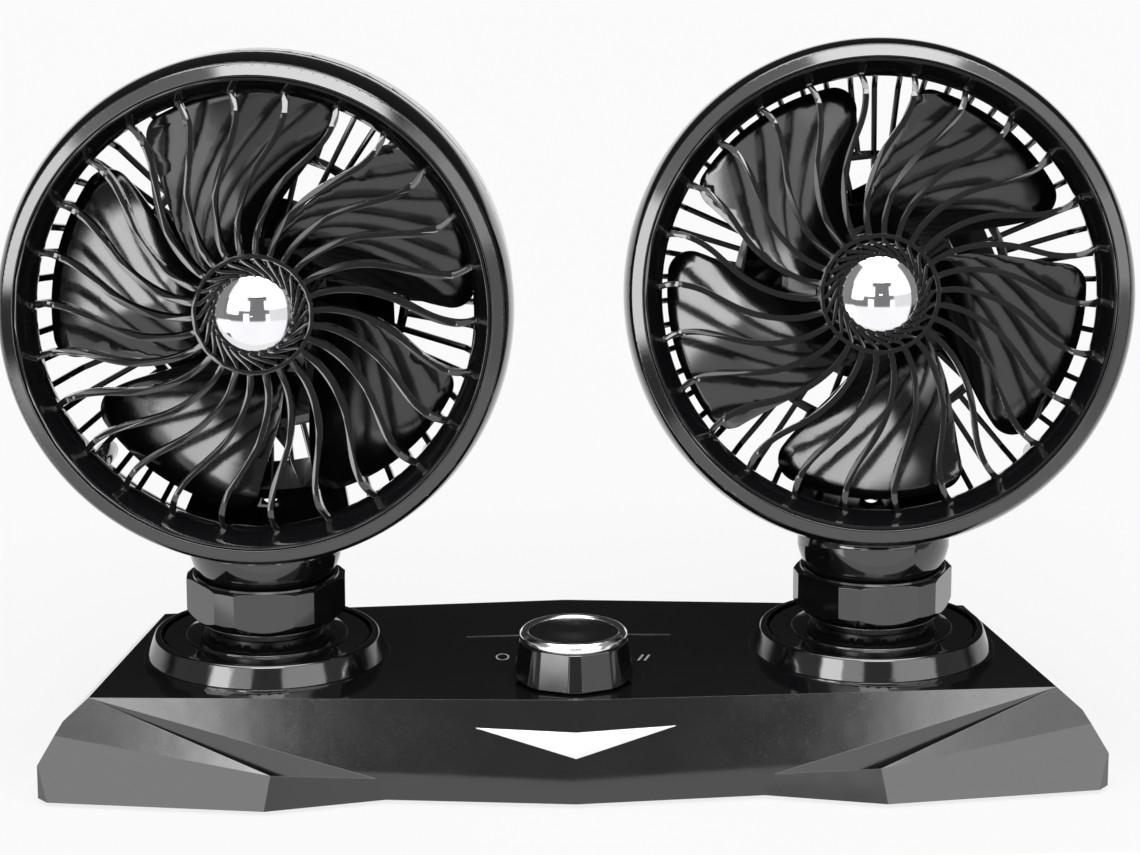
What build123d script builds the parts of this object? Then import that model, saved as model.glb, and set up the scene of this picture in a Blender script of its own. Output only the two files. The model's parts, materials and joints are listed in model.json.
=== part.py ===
from build123d import *
from math import asin, cos, degrees, hypot, pi, radians, sin, sqrt, tan
import os

# Dual head dashboard fan. Lengths in millimetres, angles in degrees.
# Origin on the standing plane below the middle of the base. +X runs along the base, the front
# faces -Y and +Z is up.

# Shared clearances and overruns
overrun = 1.0
running_gap = 0.08
seat_gap = 0.1
sphere_gap = 0.25

# Fan head's greatest radius and the free space between the two heads
bezel_radius = 66.3
head_gap = 28.0
head_spacing = 2 * bezel_radius + head_gap

# Base, its outline and walls: it runs on past each head's middle by its end length
base_end = 58.9
base_width = head_spacing + 2 * base_end
base_depth = 93.3
base_height = 27.6
foot_drop = 1.2
base_wall = 2.0
plate_thickness = 2.0
plate_gap = 0.15

# Corners of the faceted base as shares of half the width, the depth and the height
ridge_front_shares = (0.0, -0.4555, 1.0)
ridge_back_shares = (0.0, 0.4512, 1.0)
heel_back_shares = (0.0, 0.493, 0.0)
toe_front_shares = (0.0, -0.478, 0.0)
roof_front_shares = (0.901, -0.3162, 0.9167)
roof_back_shares = (0.7866, 0.4234, 0.9275)
shoulder_shares = (0.948, -0.343, 0.717)
hip_shares = (0.998, -0.386, 0.319)
outer_toe_shares = (0.978, -0.4137, 0.0)
side_toe_shares = (1.0, -0.37, 0.0)
wedge_toe_shares = (0.5754, -0.507, 0.0)
wedge_nose_shares = (0.563, -0.480, 0.319)
wedge_tip_shares = (0.3247, -0.4185, 0.150)
wedge_tip_foot_shares = (0.333, -0.416, 0.0)
wedge_root_share = 0.25

# Places of the base screws and feet as shares of half the width and the depth
bottom_screw_shares = ((0.848, -0.2), (0.755, 0.257), (0.259, -0.257), (0.259, 0.34))
foot_place_shares = ((0.868, -0.35), (0.748, 0.378))
foot_length = 24.0
foot_width = 8.0
foot_recess = 0.8
foot_gap = 0.1

# Screws
small_screw_radius = 0.95
small_head_radius = 1.9
small_head_height = 1.2
base_screw_radius = 1.3
base_head_radius = 2.5
pilot_gap = 0.05
screw_boss_wall = 1.7

# Heads on the base
neck_y = 2.5
pad_height = 26.8
pad_radius = 32.6
collar_height = 5.6
collar_rim_radius = 29.75
collar_foot_radius = 31.7
collar_rim_band = 1.7
collar_edge = 0.4
collar_ledge_drop = 2.6
collar_spigot_radius = 20.3
collar_spigot_wall = 2.1
collar_spigot_drop = 4.6
collar_screw_radius_of_place = 25.5
collar_screw_count = 3

# Turntable
turntable_gap = 0.85
turntable_thickness = 1.9
turntable_step_radius = 21.3
turntable_step = 0.5
turntable_neck_radius = 16.2
turntable_neck_rise = 1.6
turntable_bore_radius = 12.0
washer_thickness = 0.7
retainer_radius = 22.8
retainer_thickness = 2.0
retainer_bore_radius = 10.0
retainer_screw_place_radius = 15.2
retainer_screw_count = 3
retainer_screw_length = 7.0
hub_tail = 0.6

# Clamp nut: six wide and six narrow faces
nut_clear_of_rim = 5.0
nut_height = 11.8
nut_corner_radius = 21.07
nut_wide_face_degrees = 43.5
nut_lip_height = 0.6
nut_lip_radius = 19.35
nut_bottom_chamfer_radius = 18.9
nut_bottom_chamfer_height = 2.4
nut_top_chamfer = 0.9
nut_thread_height = 6.6
nut_face_count = 6
right_nut_turn = 7.7
right_nut_lift = 0.3

# Ball neck: the cup is a zone of a sphere about the pivot
pivot_rise = 9.9
cup_sphere_radius = 20.45
cup_wall = 1.85
cup_top_drop = 4.1
cup_hole_radius = 12.0
cup_lug_radius = 2.4
cup_lug_height = 2.6
cup_lug_place_radius = 16.4
cup_screw_count = 3
nut_cup_gap = 0.5

# Socket post, stud, hat and clip
post_radius = 15.2
post_flange_radius = 17.5
post_flange_thickness = 0.7
post_flange_gap = 0.7
post_waist_radius = 14.6
post_top_drop = 4.9
post_floor_gap = 0.3
post_spigot_length = 5.4
stud_radius = 3.6
stud_bore_radius = 2.0
stud_groove_depth = 0.6
stud_foot_radius = 5.4
stud_foot_height = 1.6
stud_tip_drop = 8.6
hat_rim_radius = 13.4
hat_top_drop = 11.0
hat_pocket_radius = 6.4
hat_pocket_depth = 1.4
clip_radius = 5.2
clip_thickness = 0.7
clip_mouth = 4.6

# Each head at rest: tilt towards the back, swivel, and how far its blades are turned
left_tilt = 5.3
right_tilt = 12.15
head_swivel = -3.5
left_blade_turn = 24.0
right_blade_turn = 52.0

# Fan head, along its own axis: heights run from the fan's middle towards the front lip
lip_height = 30.0
bezel_lip_radius = 61.3
bezel_shoulder_radius = 63.6
bezel_lip_width = 0.35
bezel_shoulder_drop = 0.9
bezel_round_drop = 12.4
bezel_wall = 1.8
bezel_joint_height = 12.0
bezel_inner_lip_drop = 4.4
grille_rim_gap = 0.3
grille_rim_drop = 0.4
grille_rim_width = 0.7
funnel_drop = 7.0
throat_radius = 56.2
throat_wall = 1.4
throat_length = 4.0
grille_flange_radius = 62.3
grille_flange_thickness = 1.4

# Vanes: reach of each point as a share of the outer reach, with its sweep in degrees
vane_count = 26
vane_thickness = 1.5
vane_depth = 4.4
vane_front_drop = 2.9
vane_end_drop = 5.6
vane_flat_radius = 52.0
vane_reach = 57.2
vane_first_angle = -2.4
vane_reach_shares = (1.0, 0.944, 0.874, 0.787, 0.699, 0.612, 0.524, 0.437, 0.367, 0.262)
vane_sweep_degrees = (1.2, 0.1, 0.2, 1.9, 5.6, 10.0, 14.0, 17.4, 19.6, 19.8)
hub_ring_radius = 15.6
hub_ring_wall = 1.1
hub_ring_depth = 5.6
hub_ring_drop = 2.4
hub_fin_thickness = 0.9
hub_fin_reach_shares = (0.965, 0.9, 0.84, 0.77, 0.66)
hub_fin_turn_degrees = (0.0, 0.0, -4.0, -12.5, -30.0)
hub_core_radius = 10.6
hub_core_depth = 6.4
hub_cap_radius = 9.75
hub_cap_rise = 3.4
hub_cap_seat_drop = 3.4

# Impeller
blade_count = 5
blade_tip_radius = 55.0
blade_thickness = 1.8
blade_middle_height = -2.0
blade_rise_per_degree = 0.28
blade_reach_shares = (1.0, 0.73, 0.5, 0.255)
blade_lead_degrees = (28.0, 33.0, 42.0, 52.0)
blade_trail_degrees = (-28.0, -26.0, -18.0, -4.0)
blade_corner_radius = 6.0
blade_twist_middle = 12.0
blade_section_span = 45.0
blade_section_shares = (0.1, 0.4, 0.7, 1.04)
impeller_hub_radius = 14.6
impeller_hub_front = 18.0
impeller_hub_back = -4.4
impeller_hub_wall = 1.5
impeller_hub_round = 3.0
impeller_boss_radius = 3.0

# Motor
motor_radius = 12.0
motor_front = 7.0
motor_back = -13.0
motor_bush_radius = 3.2
motor_bush_height = 1.4
motor_edge = 0.8
shaft_radius = 1.0
shaft_tip_gap = 0.4
shaft_tail = 3.0

# Rear cage
drum_radius = 65.9
drum_waist_radius = 65.2
drum_shoulder_radius = 57.5
drum_back_radius = 55.0
drum_waist_height = -4.0
drum_shoulder_height = -17.0
drum_back_height = -20.0
drum_wall = 1.8
drum_joint_gap = 0.1
drum_spigot = 2.0
drum_spigot_wall = 1.3
bar_count = 54
inner_bar_count = 27
bar_width = 1.5
cage_ring_inner_radius = 35.0
cage_ring_outer_radius = 37.3
slot_inner_radius = 24.4
slot_outer_radius = 62.0
closed_panel_radius = 46.6
closed_panel_degrees = 22.0
slot_top_height = -6.0
drain_radius = 57.6
drain_width = 8.0
drain_height = 2.0
motor_cup_radius = 15.2
motor_cup_front = -5.0
motor_cup_gap = 0.15
cover_radius = 14.6
cover_thickness = 2.6
cover_edge = 0.7
cover_plug_radius = 11.6
cover_screw_count = 3
cover_screw_place_radius = 13.1
cover_screw_length = 5.0
head_screw_count = 4
head_screw_place_radius = 61.2
head_screw_first_angle = 45.0
head_boss_radius = 2.9
head_screw_seat = -5.0
head_screw_top = 21.0
boss_floor_thickness = 2.0
lead_hole_radius = 3.0

# Knob and switch
knob_y = -23.5
knob_foot_radius = 15.6
knob_neck_radius = 14.0
knob_height = 9.9
knob_gap = 0.4
knob_face_count = 8
knob_face_depth = 0.55
knob_wall = 1.8
knob_ring_height = 2.7
knob_ring_width = 2.5
knob_ring_edge = 0.9
knob_disc_drop = 0.7
knob_disc_dish = 0.35
knob_boss_radius = 5.0
switch_shaft_radius = 3.0
switch_bushing_radius = 3.5
switch_body_length = 20.0
switch_body_width = 18.0
switch_body_height = 9.0
switch_nut_radius = 6.0
switch_nut_height = 1.8
switch_leg_length = 3.2
switch_leg_width = 1.2
switch_leg_pitch = 5.0
switch_leg_count = 3

# Shield-shaped recess round the knob: half outline as shares of half its width and of its run
shield_half_width = 27.4
shield_back_y = 12.2
shield_front_y = -37.4
shield_depth = 0.95
shield_back_depth = 0.2
shield_shares = ((1.0, 1.0), (0.84, 0.67), (0.61, 0.22), (0.44, 0.1), (0.17, 0.0))

# Badge on the front face
badge_half_width = 25.8
badge_top = 20.2
badge_side_rise = 0.7
badge_height = 6.9
badge_proud = 0.35
badge_depth = 0.9
badge_gap = 0.06

# Circuit board and cable inlet
board_length = 46.0
board_width = 24.0
board_thickness = 1.6
board_back_clear = 26.65
board_post_height = 5.0
board_post_radius = 2.6
board_hole_inset = 3.4
coil_radius = 4.5
coil_height = 6.0
capacitor_radius = 3.2
capacitor_height = 9.0
coil_place_share = 0.24
capacitor_place_share = -0.2
grommet_x = 50.0
grommet_height = 11.0
grommet_radius = 4.4
grommet_bore_radius = 2.2
grommet_flange_radius = 6.2
grommet_flange_thickness = 1.5
grommet_gap = 0.1
grommet_bead = 0.8
grommet_tail = 1.8

# Heights and places worked out from the sizes above
half_width = base_width / 2
board_y = base_depth / 2 - board_back_clear
roof_ridge_z = foot_drop + base_height
pad_z = foot_drop + pad_height
rim_z = pad_z + collar_height
nut_bottom_z = rim_z + nut_clear_of_rim
nut_top_z = nut_bottom_z + nut_height
pivot_z = nut_top_z + pivot_rise
cup_inner_radius = cup_sphere_radius - cup_wall
cup_top_radius = sqrt(cup_sphere_radius**2 - cup_top_drop**2)
cup_bottom_drop = sqrt(cup_sphere_radius**2 - cup_hole_radius**2)
fan_rise = bezel_radius - cup_top_drop + 5 * seat_gap
throat_outer_radius = throat_radius + throat_wall
turntable_radius = collar_rim_radius - collar_rim_band - turntable_gap
turntable_z = rim_z - turntable_step
turntable_neck_z = turntable_z + turntable_step + turntable_neck_rise
ledge_z = turntable_z - turntable_thickness - running_gap
spigot_foot_z = pad_z - collar_spigot_drop
spigot_inner_radius = collar_spigot_radius - collar_spigot_wall
hub_radius = spigot_inner_radius - 2 * running_gap
washer_z = spigot_foot_z - running_gap - washer_thickness
retainer_z = washer_z - retainer_thickness
post_top_z = nut_top_z - post_top_drop
knob_foot_z = roof_ridge_z + knob_gap
knob_top_z = knob_foot_z + knob_height
plate_top_z = foot_drop + plate_thickness


def outline_solid(points):
    """Turns a closed outline of (radius, height) points about the Z axis."""
    return revolve(Plane.XZ * make_face(Polyline(*points, close=True)), Axis.Z)


def disc(radius, low, high, x=0, y=0):
    """An upright cylinder between two heights."""
    return Pos(x, y, low) * Cylinder(radius, high - low, align=(Align.CENTER, Align.CENTER, Align.MIN))


def tube(outer, inner, low, high, x=0, y=0):
    """An upright tube between two heights."""
    return disc(outer, low, high, x, y) - disc(inner, low - overrun, high + overrun, x, y)


def block(length, width, low, high, x=0, y=0):
    """An upright box between two heights."""
    return Pos(x, y, low) * Box(length, width, high - low, align=(Align.CENTER, Align.CENTER, Align.MIN))


def polar(radius, angle):
    """The point at a radius and an angle in degrees."""
    return (radius * cos(radians(angle)), radius * sin(radians(angle)))


def around(count, first=0.0):
    """Evenly spaced angles of a full turn."""
    return [first + 360 * i / count for i in range(count)]


def screw(head_radius, head_height, shank_radius, length):
    """A screw whose head rests on the plane z = 0 from above, its shank pointing down."""
    return disc(head_radius, 0, head_height) + disc(shank_radius, -length, 0)


# Base shell


def corner(shares, side=1):
    """A corner of the base from its shares, on the right (1) or the left (-1)."""
    x, y, z = shares
    return Vector(side * x * half_width, y * base_depth, foot_drop + z * base_height)


def facing_out(a, b, c, heart=Vector(0, 0, foot_drop + base_height / 2)):
    """The plane through three points whose normal points away from a point inside the base."""
    normal = (b - a).cross(c - a).normalized()
    if normal.dot(heart - a) > 0:
        normal = -normal
    return Plane(origin=a, z_dir=normal)


def keep_inside(solid, planes, inset):
    """Cuts a solid down to what lies behind all the planes, each moved inwards by the inset."""
    for plane in planes:
        solid = split(solid, bisect_by=plane.offset(-inset), keep=Keep.BOTTOM)
    return solid


def end_planes(side):
    """The three faces of one end: upper slope, steep slope and upright skirt."""
    roof_front, roof_back = corner(roof_front_shares, side), corner(roof_back_shares, side)
    shoulder, hip = corner(shoulder_shares, side), corner(hip_shares, side)
    along = roof_back - roof_front
    hip_foot = Vector(hip.X, hip.Y, foot_drop)
    return [
        facing_out(roof_front, roof_back, shoulder),
        facing_out(shoulder, hip, hip + along),
        facing_out(hip, hip_foot, hip + along),
    ]


def roof_plane(side):
    """One slope of the shallow roof."""
    return facing_out(corner(ridge_front_shares), corner(ridge_back_shares), corner(roof_front_shares, side))


def front_plane(side):
    """One half of the chevron front."""
    return facing_out(corner(toe_front_shares), corner(ridge_front_shares), corner(roof_front_shares, side))


def back_plane(side):
    """One half of the back face."""
    return facing_out(corner(heel_back_shares), corner(ridge_back_shares), corner(roof_back_shares, side))


def base_block(floor_z):
    """The block that the base's faces are cut from."""
    return block(base_width + 2 * overrun, 2 * base_depth, floor_z, roof_ridge_z + overrun)


def wedge(side, inset, floor_z):
    """The facetted foot that stands out of the front at one end."""
    roof_front, nose = corner(roof_front_shares, side), corner(wedge_nose_shares, side)
    toe, outer_toe = corner(wedge_toe_shares, side), corner(outer_toe_shares, side)
    side_toe = corner(side_toe_shares, side)
    upright = Vector(0, 0, base_height)
    heart = Vector(toe.X, roof_front.Y, foot_drop)
    planes = end_planes(side) + [
        roof_plane(side),
        facing_out(roof_front, corner(wedge_tip_shares, side), nose, heart),
        facing_out(roof_front, nose, corner(shoulder_shares, side), heart),
        facing_out(outer_toe, toe, nose, heart),
        facing_out(toe, corner(wedge_tip_foot_shares, side), nose, heart),
        facing_out(outer_toe, side_toe, outer_toe + upright, heart),
    ]
    solid = keep_inside(base_block(floor_z), planes, inset)
    root = front_plane(side).offset(-inset - base_wall)
    solid = split(solid, bisect_by=root, keep=Keep.TOP)
    mid_cut = Plane(origin=(side * wedge_root_share * half_width, 0, 0), z_dir=(side, 0, 0))
    return split(solid, bisect_by=mid_cut, keep=Keep.TOP)


def base_envelope(inset, floor_z):
    """The whole outer form of the base, with every face moved inwards by the inset."""
    planes = []
    for side in (-1, 1):
        planes += end_planes(side) + [roof_plane(side), front_plane(side), back_plane(side)]
    core = keep_inside(base_block(floor_z), planes, inset)
    return core + wedge(1, inset, floor_z) + wedge(-1, inset, floor_z)


def head_x(side):
    return side * head_spacing / 2


def bottom_screw_places():
    return [(side * sx * half_width, sy * base_depth) for sx, sy in bottom_screw_shares for side in (-1, 1)]


def collar_screw_places(side):
    turns = [polar(collar_screw_radius_of_place, a) for a in around(collar_screw_count, 90)]
    return [(head_x(side) + x, neck_y + y) for x, y in turns]


def shield_recess():
    """The recess round the knob: each half of its floor follows the roof and sinks towards the front."""
    run = shield_back_y - shield_front_y
    half = [(shield_half_width * sx, shield_front_y + run * sy) for sx, sy in shield_shares]
    outline = half + [(-x, y) for x, y in reversed(half)]
    face = make_face(Polyline(*outline, close=True))
    prism = extrude(Pos(0, 0, roof_ridge_z - base_wall) * face, base_wall + overrun)
    below = prism
    for side in (-1, 1):
        below = split(below, bisect_by=shield_floor(side), keep=Keep.BOTTOM)
    return prism - below


def shield_floor(side):
    """One half of the recess floor, as a plane whose normal points up."""
    slope = corner(roof_front_shares, side) - corner(ridge_front_shares)
    front = Vector(0, shield_front_y, roof_ridge_z - shield_depth)
    back = Vector(0, shield_back_y, roof_ridge_z - shield_back_depth)
    beside = front + Vector(slope.X, 0, slope.Z)
    normal = (beside - front).cross(back - front).normalized() * side
    return Plane(origin=front, z_dir=normal)


def badge_prism(grow):
    """The badge's chevron outline, run through the front wall."""
    side_top = badge_top + badge_side_rise
    left, right = (-badge_half_width, side_top), (badge_half_width, side_top)
    face = make_face(Polyline(left, (0, badge_top), right, (0, badge_top - badge_height), close=True))
    if grow:
        face = offset(face, grow, kind=Kind.INTERSECTION)
    return extrude(Plane.XZ * face, base_depth / 2 + overrun)


def front_skin(proud, depth):
    """The layer of the front wall between two distances from its outer face."""
    planes = [front_plane(-1), front_plane(1)]
    big = base_block(foot_drop)
    return keep_inside(big, planes, -proud) - keep_inside(big, planes, depth)


def base_top_shell():
    """The upper moulding with its pads, holes, recess and the bosses inside it."""
    outer = base_envelope(0, foot_drop)
    inner = base_envelope(base_wall, foot_drop - overrun)
    shell = outer - inner
    bosses = []
    for x, y in bottom_screw_places():
        bosses.append(disc(base_screw_radius + screw_boss_wall, plate_top_z + plate_gap, roof_ridge_z, x, y))
    for side in (-1, 1):
        shell += disc(pad_radius, pad_z - 2 * base_wall, pad_z, head_x(side), neck_y)
    for boss in bosses:
        shell += boss & outer
    cuts = [shield_recess()]
    for x, y in bottom_screw_places():
        cuts.append(disc(base_screw_radius + pilot_gap, foot_drop, pad_z - 2 * base_wall, x, y))
    for side in (-1, 1):
        low, high = pad_z - 3 * base_wall, pad_z + overrun
        cuts.append(disc(collar_spigot_radius + seat_gap, low, high, head_x(side), neck_y))
        for x, y in collar_screw_places(side):
            cuts.append(disc(small_screw_radius + pilot_gap, low, high, x, y))
    low, high = pad_z - 3 * base_wall, roof_ridge_z + overrun
    cuts.append(disc(switch_bushing_radius + seat_gap, low, high, 0, knob_y))
    cuts.append(badge_prism(badge_gap) & front_skin(overrun, badge_depth + badge_gap))
    cuts.append(inlet_place() * disc(grommet_radius + grommet_gap, -2 * base_wall, overrun))
    return shell - cuts


def inlet_place():
    """The cable inlet's frame: on the back wall's outer face, square to it."""
    point, normal = back_plane(1).origin, back_plane(1).z_dir
    height = foot_drop + grommet_height
    wall_y = point.Y - (normal.X * (grommet_x - point.X) + normal.Z * (height - point.Z)) / normal.Y
    return Plane(origin=(grommet_x, wall_y, height), z_dir=normal).location


def base_bottom_plate():
    """The flat closing plate, let into the shell's lower edge."""
    slab = block(base_width, 2 * base_depth, foot_drop, plate_top_z)
    plate = base_envelope(base_wall + plate_gap, foot_drop - overrun) & slab
    for x, y in board_post_places():
        low, top = plate_top_z - pilot_gap, plate_top_z + board_post_height
        plate += tube(board_post_radius, small_screw_radius + pilot_gap, low, top, x, y)
    cuts = []
    for x, y in bottom_screw_places():
        cuts.append(disc(base_screw_radius + seat_gap, 0, roof_ridge_z, x, y))
        cuts.append(disc(base_head_radius + seat_gap, 0, foot_drop + plate_thickness / 2, x, y))
    for x, y in foot_places():
        cuts.append(foot_pad(x, y, foot_gap, 0, foot_drop + foot_recess))
    return plate - cuts


def foot_places():
    return [(side * sx * half_width, sy * base_depth) for sx, sy in foot_place_shares for side in (-1, 1)]


def foot_pad(x, y, grow, low, high):
    """One long round-ended rubber pad."""
    face = Pos(x, y, low) * SlotOverall(foot_length + 2 * grow, foot_width + 2 * grow)
    return extrude(face, high - low)


def rubber_feet():
    return Compound([foot_pad(x, y, 0, 0, foot_drop + foot_recess).solid() for x, y in foot_places()])


def bottom_screws():
    """Eight screws, heads sunk in the plate, shanks up in the shell's bosses."""
    seat = foot_drop + plate_thickness / 2
    length = pad_height - 4 * base_wall - plate_thickness
    one = Rot(X=180) * screw(base_head_radius, seat - foot_drop, base_screw_radius, length)
    return Compound([(Pos(x, y, seat) * one).solid() for x, y in bottom_screw_places()])


def front_badge():
    """A plain chevron plate, bent along the middle of the front."""
    return badge_prism(0) & front_skin(badge_proud, badge_depth)


def board_post_places():
    reach_x, reach_y = board_length / 2 - board_hole_inset, board_width / 2 - board_hole_inset
    return [(sx * reach_x, board_y + sy * reach_y) for sx in (-1, 1) for sy in (-1, 1)]


def circuit_board():
    """The speed board with its coil and capacitor, on four posts of the bottom plate."""
    low = plate_top_z + board_post_height
    top = low + board_thickness
    board = block(board_length, board_width, low, top, 0, board_y)
    coil_x, capacitor_x = coil_place_share * board_length, capacitor_place_share * board_length
    board += disc(coil_radius, top, top + coil_height, coil_x, board_y)
    board += disc(capacitor_radius, top, top + capacitor_height, capacitor_x, board_y)
    hole = disc(small_screw_radius + seat_gap, low - overrun, top + overrun)
    return board - [Pos(x, y, 0) * hole for x, y in board_post_places()]


def board_screws():
    top = plate_top_z + board_post_height + board_thickness
    length = board_thickness + 2 * small_head_height
    one = screw(small_head_radius, small_head_height, small_screw_radius, length)
    return Compound([(Pos(x, y, top) * one).solid() for x, y in board_post_places()])


def cable_grommet():
    """The inlet bush: flange outside, neck through the wall, bead inside."""
    neck = grommet_radius
    bead = grommet_radius + grommet_bead
    wall = base_wall + grommet_gap
    points = [
        (grommet_bore_radius, grommet_flange_thickness),
        (grommet_flange_radius - grommet_flange_thickness / 2, grommet_flange_thickness),
        (grommet_flange_radius, 0),
        (neck, 0),
        (neck, -wall),
        (bead, -wall - grommet_gap),
        (neck, -wall - grommet_tail),
        (grommet_bore_radius, -wall - grommet_tail),
    ]
    return inlet_place() * outline_solid(points)


# Knob and switch


def knob_body():
    """The eight-faced tapering grip, hollow below, with a boss for the shaft."""
    cone = outline_solid([(0, 0), (knob_foot_radius, 0), (knob_neck_radius, knob_height), (0, knob_height)])
    sides = []
    for height, radius in ((0, knob_foot_radius), (knob_height, knob_neck_radius)):
        corner_radius = (radius - knob_face_depth) / cos(pi / knob_face_count)
        sides.append(Pos(0, 0, height) * RegularPolygon(corner_radius, knob_face_count))
    body = cone & loft(sides)
    hollow = outline_solid([
        (0, -overrun),
        (knob_foot_radius - knob_wall, -overrun),
        (knob_neck_radius - knob_wall, knob_height - knob_wall),
        (0, knob_height - knob_wall),
    ])
    seat = disc(knob_neck_radius - knob_ring_width, knob_height - knob_disc_drop, knob_height + overrun)
    boss = disc(knob_boss_radius, switch_nut_height + 2 * knob_gap, knob_height - knob_wall + pilot_gap)
    bore = disc(switch_shaft_radius + seat_gap / 4, -overrun, knob_height - knob_wall)
    return Pos(0, knob_y, knob_foot_z) * (body - hollow + boss - bore - seat)


def knob_ring():
    """The bright ring round the top of the knob."""
    outer, inner = knob_neck_radius, knob_neck_radius - knob_ring_width
    points = [
        (inner, 0),
        (outer - knob_ring_edge / 2, 0),
        (outer, knob_ring_edge / 2),
        (outer, knob_ring_height - knob_ring_edge),
        (outer - knob_ring_edge, knob_ring_height),
        (inner + knob_ring_edge, knob_ring_height),
        (inner, knob_ring_height - knob_ring_edge / 2),
    ]
    return Pos(0, knob_y, knob_top_z) * outline_solid(points)


def knob_disc():
    """The spun metal disc inside the ring, a little dished."""
    radius = knob_neck_radius - knob_ring_width - seat_gap
    top = knob_ring_height - knob_disc_drop
    low = -knob_disc_drop
    middle = top - knob_disc_dish
    points = [(0, low), (radius, low), (radius, top), (radius / 2, (3 * top + middle) / 4), (0, middle)]
    return Pos(0, knob_y, knob_top_z) * outline_solid(points)


def switch_nut_z():
    """The sloping recess floor just behind the knob's axis, where the nut's back edge rests."""
    run = (shield_back_y - knob_y - switch_nut_radius) / (shield_back_y - shield_front_y)
    return roof_ridge_z - shield_back_depth - (shield_depth - shield_back_depth) * run


def bushing_top_z():
    return switch_nut_z() + switch_nut_height + 2 * seat_gap


def switch_shaft():
    """The switch's shaft, from its rotor up into the knob's boss."""
    low = switch_top_z() - switch_body_height / 2
    return disc(switch_shaft_radius, low, knob_top_z - knob_wall - seat_gap, 0, knob_y)


def switch_top_z():
    """The switch stands against the underside of the roof."""
    return roof_ridge_z - base_wall - 2 * seat_gap


def rotary_switch():
    """The three-way switch: body below the roof, threaded bushing through it, legs below."""
    top = switch_top_z()
    body = block(switch_body_length, switch_body_width, top - switch_body_height, top, 0, knob_y)
    body += disc(switch_bushing_radius, top, bushing_top_z(), 0, knob_y)
    bore_foot = top - switch_body_height / 2 - seat_gap
    body -= disc(switch_shaft_radius + running_gap, bore_foot, knob_top_z, 0, knob_y)
    for i in range(switch_leg_count):
        x = (i - (switch_leg_count - 1) / 2) * switch_leg_pitch
        low = top - switch_body_height
        body += block(switch_leg_width, switch_leg_width / 2, low - switch_leg_length, low, x, knob_y)
    return body


def switch_nut():
    """The thin hexagon nut that clamps the switch to the roof, hidden under the knob."""
    nut = extrude(Pos(0, knob_y, switch_nut_z()) * RegularPolygon(switch_nut_radius, 6), switch_nut_height)
    return nut - disc(switch_bushing_radius + running_gap / 2, 0, knob_top_z, 0, knob_y)


# Collar, turntable and what holds it


def collar_ring():
    """The flared collar with the ledge for the turntable and a spigot down through the roof."""
    bore = collar_rim_radius - collar_rim_band
    points = [
        (collar_foot_radius, pad_z),
        (collar_rim_radius, rim_z - collar_edge),
        (collar_rim_radius - collar_edge, rim_z),
        (bore, rim_z),
        (bore, ledge_z),
        (spigot_inner_radius, ledge_z),
        (spigot_inner_radius, spigot_foot_z),
        (collar_spigot_radius, spigot_foot_z),
        (collar_spigot_radius, pad_z),
    ]
    ring = outline_solid(points)
    for x, y in [polar(collar_screw_radius_of_place, a) for a in around(collar_screw_count, 90)]:
        high = pad_z + collar_ledge_drop - pilot_gap
        ring -= disc(small_screw_radius + pilot_gap, pad_z - overrun, high, x, y)
    return ring


def collar_screws():
    """Three screws from inside the base up into the collar."""
    seat = pad_z - 2 * base_wall
    reach = 2 * base_wall + collar_ledge_drop - 4 * seat_gap
    one = Rot(X=180) * screw(small_head_radius, small_head_height, small_screw_radius, reach)
    places = [polar(collar_screw_radius_of_place, a) for a in around(collar_screw_count, 90)]
    return Compound([(Pos(x, y, seat) * one).solid() for x, y in places])


def turntable():
    """The swivelling disc with its stepped top, raised neck and the hub that goes down."""
    low = turntable_z - turntable_thickness
    points = [
        (turntable_radius, low),
        (turntable_radius, turntable_z - collar_edge),
        (turntable_radius - collar_edge, turntable_z),
        (turntable_step_radius, turntable_z),
        (turntable_step_radius, turntable_z + turntable_step),
        (turntable_neck_radius, turntable_neck_z),
        (turntable_bore_radius, turntable_neck_z),
        (turntable_bore_radius, turntable_neck_z - post_spigot_length),
        (turntable_bore_radius + 2 * seat_gap, washer_z),
        (hub_radius, washer_z),
        (hub_radius, low),
    ]
    depth = retainer_z + retainer_screw_length + seat_gap
    cuts = [disc(small_screw_radius + pilot_gap, retainer_z, depth, x, y) for x, y in retainer_screw_places()]
    return outline_solid(points) - cuts


def swivel_washer():
    """The sliding washer between the spigot's foot and the retainer."""
    return tube(retainer_radius, hub_radius + running_gap, washer_z, washer_z + washer_thickness)


def swivel_retainer():
    """The ring fixed under the hub, with a short register inside it."""
    register = turntable_bore_radius + seat_gap
    points = [
        (retainer_bore_radius, retainer_z),
        (retainer_radius, retainer_z),
        (retainer_radius, washer_z),
        (register, washer_z),
        (register, washer_z + hub_tail),
        (retainer_bore_radius, washer_z + hub_tail),
    ]
    cuts = [disc(small_screw_radius + seat_gap, 0, pad_z, x, y) for x, y in retainer_screw_places()]
    return outline_solid(points) - cuts


def retainer_screw_places():
    return [polar(retainer_screw_place_radius, a) for a in around(retainer_screw_count, 30)]


def retainer_screws():
    """Three screws from below through the retainer into the turntable's hub."""
    one = Rot(X=180) * screw(small_head_radius, small_head_height, small_screw_radius, retainer_screw_length)
    return Compound([(Pos(x, y, retainer_z) * one).solid() for x, y in retainer_screw_places()])


def pivot_sphere(radius):
    return Pos(0, 0, pivot_z) * Sphere(radius)


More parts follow.
